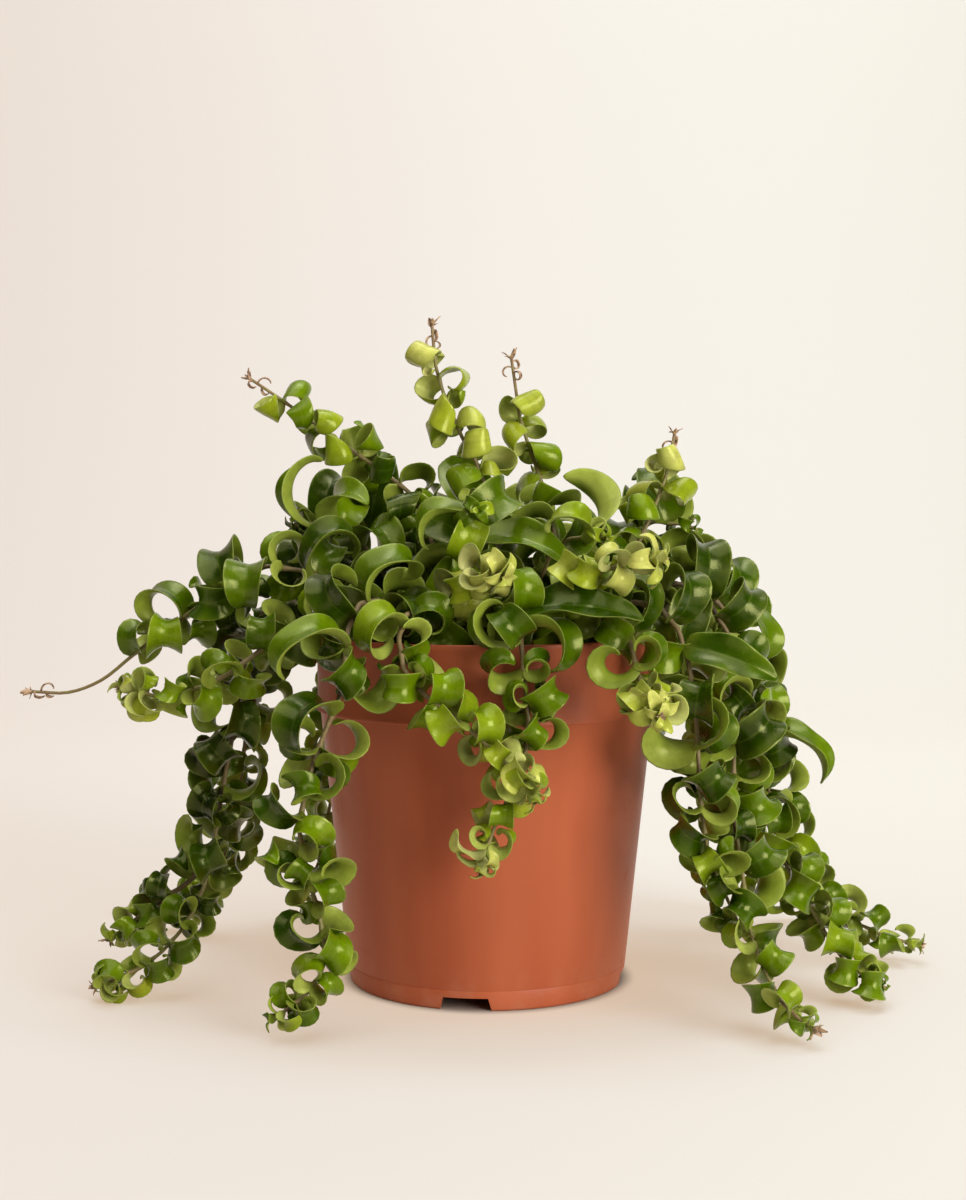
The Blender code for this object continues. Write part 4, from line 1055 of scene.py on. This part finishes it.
def dry_star(data, number):
    """The dry sepals that end a stem, spread round its tip, and a bare tip's narrow dry leaves."""
    tip, along, across = stem_tip(data)
    draw = random.Random(number)
    blades = []

    def add(down, degrees, lengths, scale, width, bend):
        out = turn_about(across, along, degrees)
        length = draw.uniform(*lengths) * scale
        curl, start = (draw.uniform(*ends) for ends in bend)
        blades.append(Leaf(tip - along * down, along, out, length, width or length * SEPAL_WIDTH,
                           curl, start, 0.0, 0.0, STEM_RADIUS[1]))

    scale = ROSETTE_SEPAL if data["spec"].name in ROSETTES else 1.0
    for i in range(SEPALS):
        degrees = 360 / SEPALS * i + draw.uniform(-15, 15)
        add(SEPAL_FOOT, degrees, SEPAL_LENGTH, scale, None, SEPAL_BEND)
    for i in range(DRY_CURLS if data["spec"].bare > BARE_TIP else 0):
        degrees = TIP_TURN * i + draw.uniform(-30, 30)
        down = DRY_CURL_PLACE[0] + DRY_CURL_PLACE[1] * i
        add(down, degrees, DRY_CURL_LENGTH, 1.0, DRY_CURL_WIDTH, DRY_CURL_BEND)
    return blades


def build_plant():
    """The leaves and the stem of each leafy stem, as pieces in place of its node."""
    leaf_material = leaf_look()
    stem_material = stem_look()
    dry_material = bract_look()
    grown = {}
    for spec in STEMS:
        grown[spec.name] = grow_stem(spec, grown)
    leaves = grow_leaves(grown)
    for index, (name, data) in enumerate(grown.items()):
        node = "stem_" + (data["spec"].joins or name)
        channel = ROUND_CHANNEL if name in ROUNDED else LEAF_CHANNEL
        shapes = []
        for number, (leaf, share) in enumerate(leaves[name]):
            mark = 1000 * index + number
            shapes.append(fine_leaf(leaf, leaf_tone(name, share, mark), mark, channel))
        young = tip_leaves(data, index) if data["spec"].bare <= BARE_TIP else []
        for mark, leaf in enumerate(young, 1000 * index + 900):
            shapes.append(fine_leaf(leaf, leaf_tone(name, 1.0, mark), mark))
        add_grown(name + "_leaves", shapes, leaf_material, node, "leaf_facts")
        if name in DRY_TIPS:
            blades = enumerate(dry_star(data, SEED + index))
            shapes = [fine_leaf(blade, 0.5, number) for number, blade in blades]
            add_grown(name + "_dry_tip", shapes, dry_material, node)
        add_grown(name + "_stem", [fine_stem(data)], stem_material, node, "stem_facts")


def turned(name, profile, steps):
    """Turn a profile, (radius, height) pairs running down the outer side, about Z."""
    mesh = bpy.data.meshes.new(name)
    points = [(radius * MM, 0.0, height * MM) for radius, height in profile]
    mesh.from_pydata(points, [(i, i + 1) for i in range(len(points) - 1)], [])
    made = add_object(name, mesh)
    screw = made.modifiers.new("Screw", "SCREW")
    screw.steps = steps
    screw.render_steps = steps
    screw.use_merge_vertices = True
    screw.merge_threshold = 0.02 * MM
    return made


def apply_modifiers(made):
    """The object's evaluated mesh; the object itself is removed."""
    bpy.context.view_layer.update()
    graph = bpy.context.evaluated_depsgraph_get()
    mesh = bpy.data.meshes.new_from_object(made.evaluated_get(graph))
    bpy.data.objects.remove(made)
    return mesh


def arc(centre, radius, start, end, count):
    """Points of an arc in a profile, angles in degrees from the outward direction."""
    places = []
    for i in range(count + 1):
        angle = math.radians(start + (end - start) * i / count)
        places.append((centre[0] + radius * math.cos(angle), centre[1] + radius * math.sin(angle)))
    return places


def wall_radius(height):
    """The outer radius of the pot's tapered wall at a height."""
    return POT_FOOT_RADIUS + (POT_WALL_RADIUS - POT_FOOT_RADIUS) / BAND_BOTTOM * height


def pot_profile():
    """The pot's section: rounded lip, band, step, tapered wall, foot ring, recess and inside."""
    rim = POT_RIM_RADIUS
    inside = rim - POT_WALL
    lip = POT_WALL / 2
    ring = POT_FOOT_RADIUS - FOOT_WIDTH
    base_top = FOOT_HEIGHT + POT_WALL
    line_top, line_foot = FOOT_LINE + LINE_WIDTH / 2, FOOT_LINE - LINE_WIDTH / 2
    return [
        (inside, POT_HEIGHT - lip), *arc((rim - lip, POT_HEIGHT - lip), lip, 165, 0, 8),
        *[(rim - inward, POT_HEIGHT - down) for inward, down in BAND_TOP],
        *[(rim - inward, BAND_BOTTOM + up) for inward, up in BAND_FOOT],
        *arc((rim - BAND_ROUND, BAND_BOTTOM + BAND_ROUND), BAND_ROUND, 0, -90, 4),
        *[(POT_WALL_RADIUS + outward, BAND_BOTTOM - down) for outward, down in UNDER_BAND],
        (wall_radius(line_top), line_top), (wall_radius(FOOT_LINE) - LINE_DEPTH, FOOT_LINE),
        (wall_radius(line_foot), line_foot),
        *arc((POT_FOOT_RADIUS - FOOT_ROUND, FOOT_ROUND), FOOT_ROUND, 0, -90, 5),
        (ring, 0.0), (ring, FOOT_HEIGHT), (0.0, FOOT_HEIGHT), (0.0, base_top),
        (wall_radius(base_top) - POT_WALL, base_top),
        (POT_WALL_RADIUS - POT_WALL, BAND_BOTTOM - POT_WALL),
        (inside, BAND_BOTTOM + POT_WALL), (inside, POT_HEIGHT - lip)]


def notch_cutter():
    """A wedge for one notch in the foot, pointing along +X."""
    inner = POT_FOOT_RADIUS - 3 * FOOT_WIDTH
    outer = POT_FOOT_RADIUS + FOOT_WIDTH
    wide, narrow = NOTCH_BOTTOM_WIDTH / 2, NOTCH_TOP_WIDTH / 2
    solid = bmesh.new()
    bmesh.ops.create_cube(solid, size=1.0)
    for vertex in solid.verts:
        top = vertex.co.z > 0
        reach = outer if vertex.co.x > 0 else inner
        half = narrow if top else wide
        vertex.co = Vector((reach, math.copysign(half, vertex.co.y),
                            FOOT_HEIGHT - 0.01 if top else -1.0)) * MM
    return solid


def build_pot():
    """The pot, with its notches and drain holes cut."""
    cutters = bpy.data.collections.new("cutters")
    bpy.context.scene.collection.children.link(cutters)
    for i in range(NOTCHES):
        turn = math.radians(NOTCH_TURN + 360 / NOTCHES * i)
        drain = bmesh.new()
        bmesh.ops.create_cone(drain, cap_ends=True, segments=32, radius1=DRAIN_RADIUS * MM,
                              radius2=DRAIN_RADIUS * MM, depth=2 * FOOT_HEIGHT * MM)
        place = Vector((DRAIN_CIRCLE, 0, FOOT_HEIGHT)) * MM
        bmesh.ops.translate(drain, verts=drain.verts, vec=place)
        for solid, angle in ((notch_cutter(), turn), (drain, turn + math.radians(180 / NOTCHES))):
            solid.transform(Matrix.Rotation(angle, 4, "Z"))
            cutters.objects.link(bpy.data.objects.new("cutter", mesh_of(solid, "cutter")))
    made = turned("pot_blank", pot_profile(), POT_STEPS)
    boolean = made.modifiers.new("Notches and drains", "BOOLEAN")
    boolean.operation = "DIFFERENCE"
    boolean.operand_type = "COLLECTION"
    boolean.collection = cutters
    mesh = apply_modifiers(made)
    for used in list(cutters.objects):
        bpy.data.objects.remove(used)
    bpy.data.collections.remove(cutters)
    add_piece("nursery_pot", mesh, pot_look(), "pot")
    mesh.set_sharp_from_angle(angle=math.radians(POT_CREASE))


def soil_height(x, y):
    """Height of the soil's lumpy top, in millimetres."""
    share = min(math.hypot(x, y) / POT_RIM_RADIUS, 1.0)
    lumps = sum(part * noise.noise(Vector((x, y, level)) / size) for size, part, level in SOIL_WAVES)
    return SOIL_EDGE_HEIGHT + SOIL_DOME * (1 - share ** 2) + SOIL_WAVE * lumps


def build_soil():
    """The soil, closed all round, and the crumbs lying on it."""
    base = FOOT_HEIGHT + POT_WALL + GAP
    edge = POT_RIM_RADIUS - POT_WALL - GAP
    profile = [(edge * i / SOIL_RINGS, SOIL_EDGE_HEIGHT) for i in range(SOIL_RINGS + 1)]
    profile += [(edge, BAND_BOTTOM + POT_WALL + 2 * GAP),
                (POT_WALL_RADIUS - POT_WALL - GAP, BAND_BOTTOM - POT_WALL + GAP),
                (wall_radius(base) - POT_WALL - GAP, base), (0.0, base)]
    mesh = apply_modifiers(turned("soil_blank", profile, SOIL_STEPS))
    for vertex in mesh.vertices:
        if vertex.co.z > (SOIL_EDGE_HEIGHT - 1) * MM:
            vertex.co.z = soil_height(vertex.co.x / MM, vertex.co.y / MM) * MM
    look = soil_look()
    add_piece("potting_soil", mesh, look, "soil")
    draw = random.Random(SEED)
    crumbs = bmesh.new()
    for _ in range(CRUMBS):
        reach = (edge - CRUMB_MARGIN) * math.sqrt(draw.random())
        angle = draw.uniform(0, 2 * math.pi)
        x, y = reach * math.cos(angle), reach * math.sin(angle)
        size = draw.uniform(*CRUMB_SIZE)
        made = bmesh.ops.create_icosphere(crumbs, subdivisions=1, radius=size * MM)
        for vertex in made["verts"]:
            vertex.co *= draw.uniform(*CRUMB_SHAPE)
            vertex.co += Vector((x, y, soil_height(x, y) + CRUMB_RISE * size)) * MM
    add_piece("soil_crumbs", mesh_of(crumbs, "soil_crumbs"), look, "soil")


def build_stage():
    """Floor and backdrop: one sheet that sweeps up behind the plant, in metres."""
    front, back, side, top, bend = -2.6, 1.7, 3.5, 3.2, 0.8
    profile = [(front, 0.0)] + arc((back - bend, bend), bend, -90, 0, 12) + [(back, top)]
    solid = bmesh.new()
    rows = [[solid.verts.new((x, y, z)) for y, z in profile] for x in (-side, side)]
    for i in range(len(profile) - 1):
        solid.faces.new((rows[0][i], rows[1][i], rows[1][i + 1], rows[0][i + 1]))
    mesh = mesh_of(solid, "paper_sweep")
    mesh.materials.append(wall_look())
    mesh.shade_smooth()
    add_object("paper_sweep", mesh)


def build_studio():
    """The stage, the soft lights and the camera of the photograph."""
    build_stage()
    for name, place, aim, size, watts, colour in LIGHTS:
        lamp = bpy.data.lights.new(name, "AREA")
        lamp.size = size
        lamp.energy = watts
        lamp.color = colour
        light = add_object(name, lamp)
        light.location = place
        light.rotation_euler = (Vector(aim) - Vector(place)).to_track_quat("-Z", "Y").to_euler()
    scene = bpy.context.scene
    scene.world = bpy.data.worlds.new("studio")
    scene.world.use_nodes = True
    background = scene.world.node_tree.nodes["Background"]
    background.inputs["Color"].default_value = screen_colour(*STUDIO_AIR)
    background.inputs["Strength"].default_value = AIR_LIGHT
    camera = add_object("camera", bpy.data.cameras.new("camera"))
    camera.data.sensor_width = CAMERA_SENSOR
    camera.data.lens = CAMERA_LENS
    camera.data.clip_start = 0.01
    camera.location = Vector(CAMERA_PLACE) * MM
    camera.rotation_euler = (math.radians(90 - CAMERA_TILT), 0.0, 0.0)
    scene.camera = camera
    scene.view_settings.view_transform = "Standard"


build_pot()
build_soil()
build_plant()
build_studio()
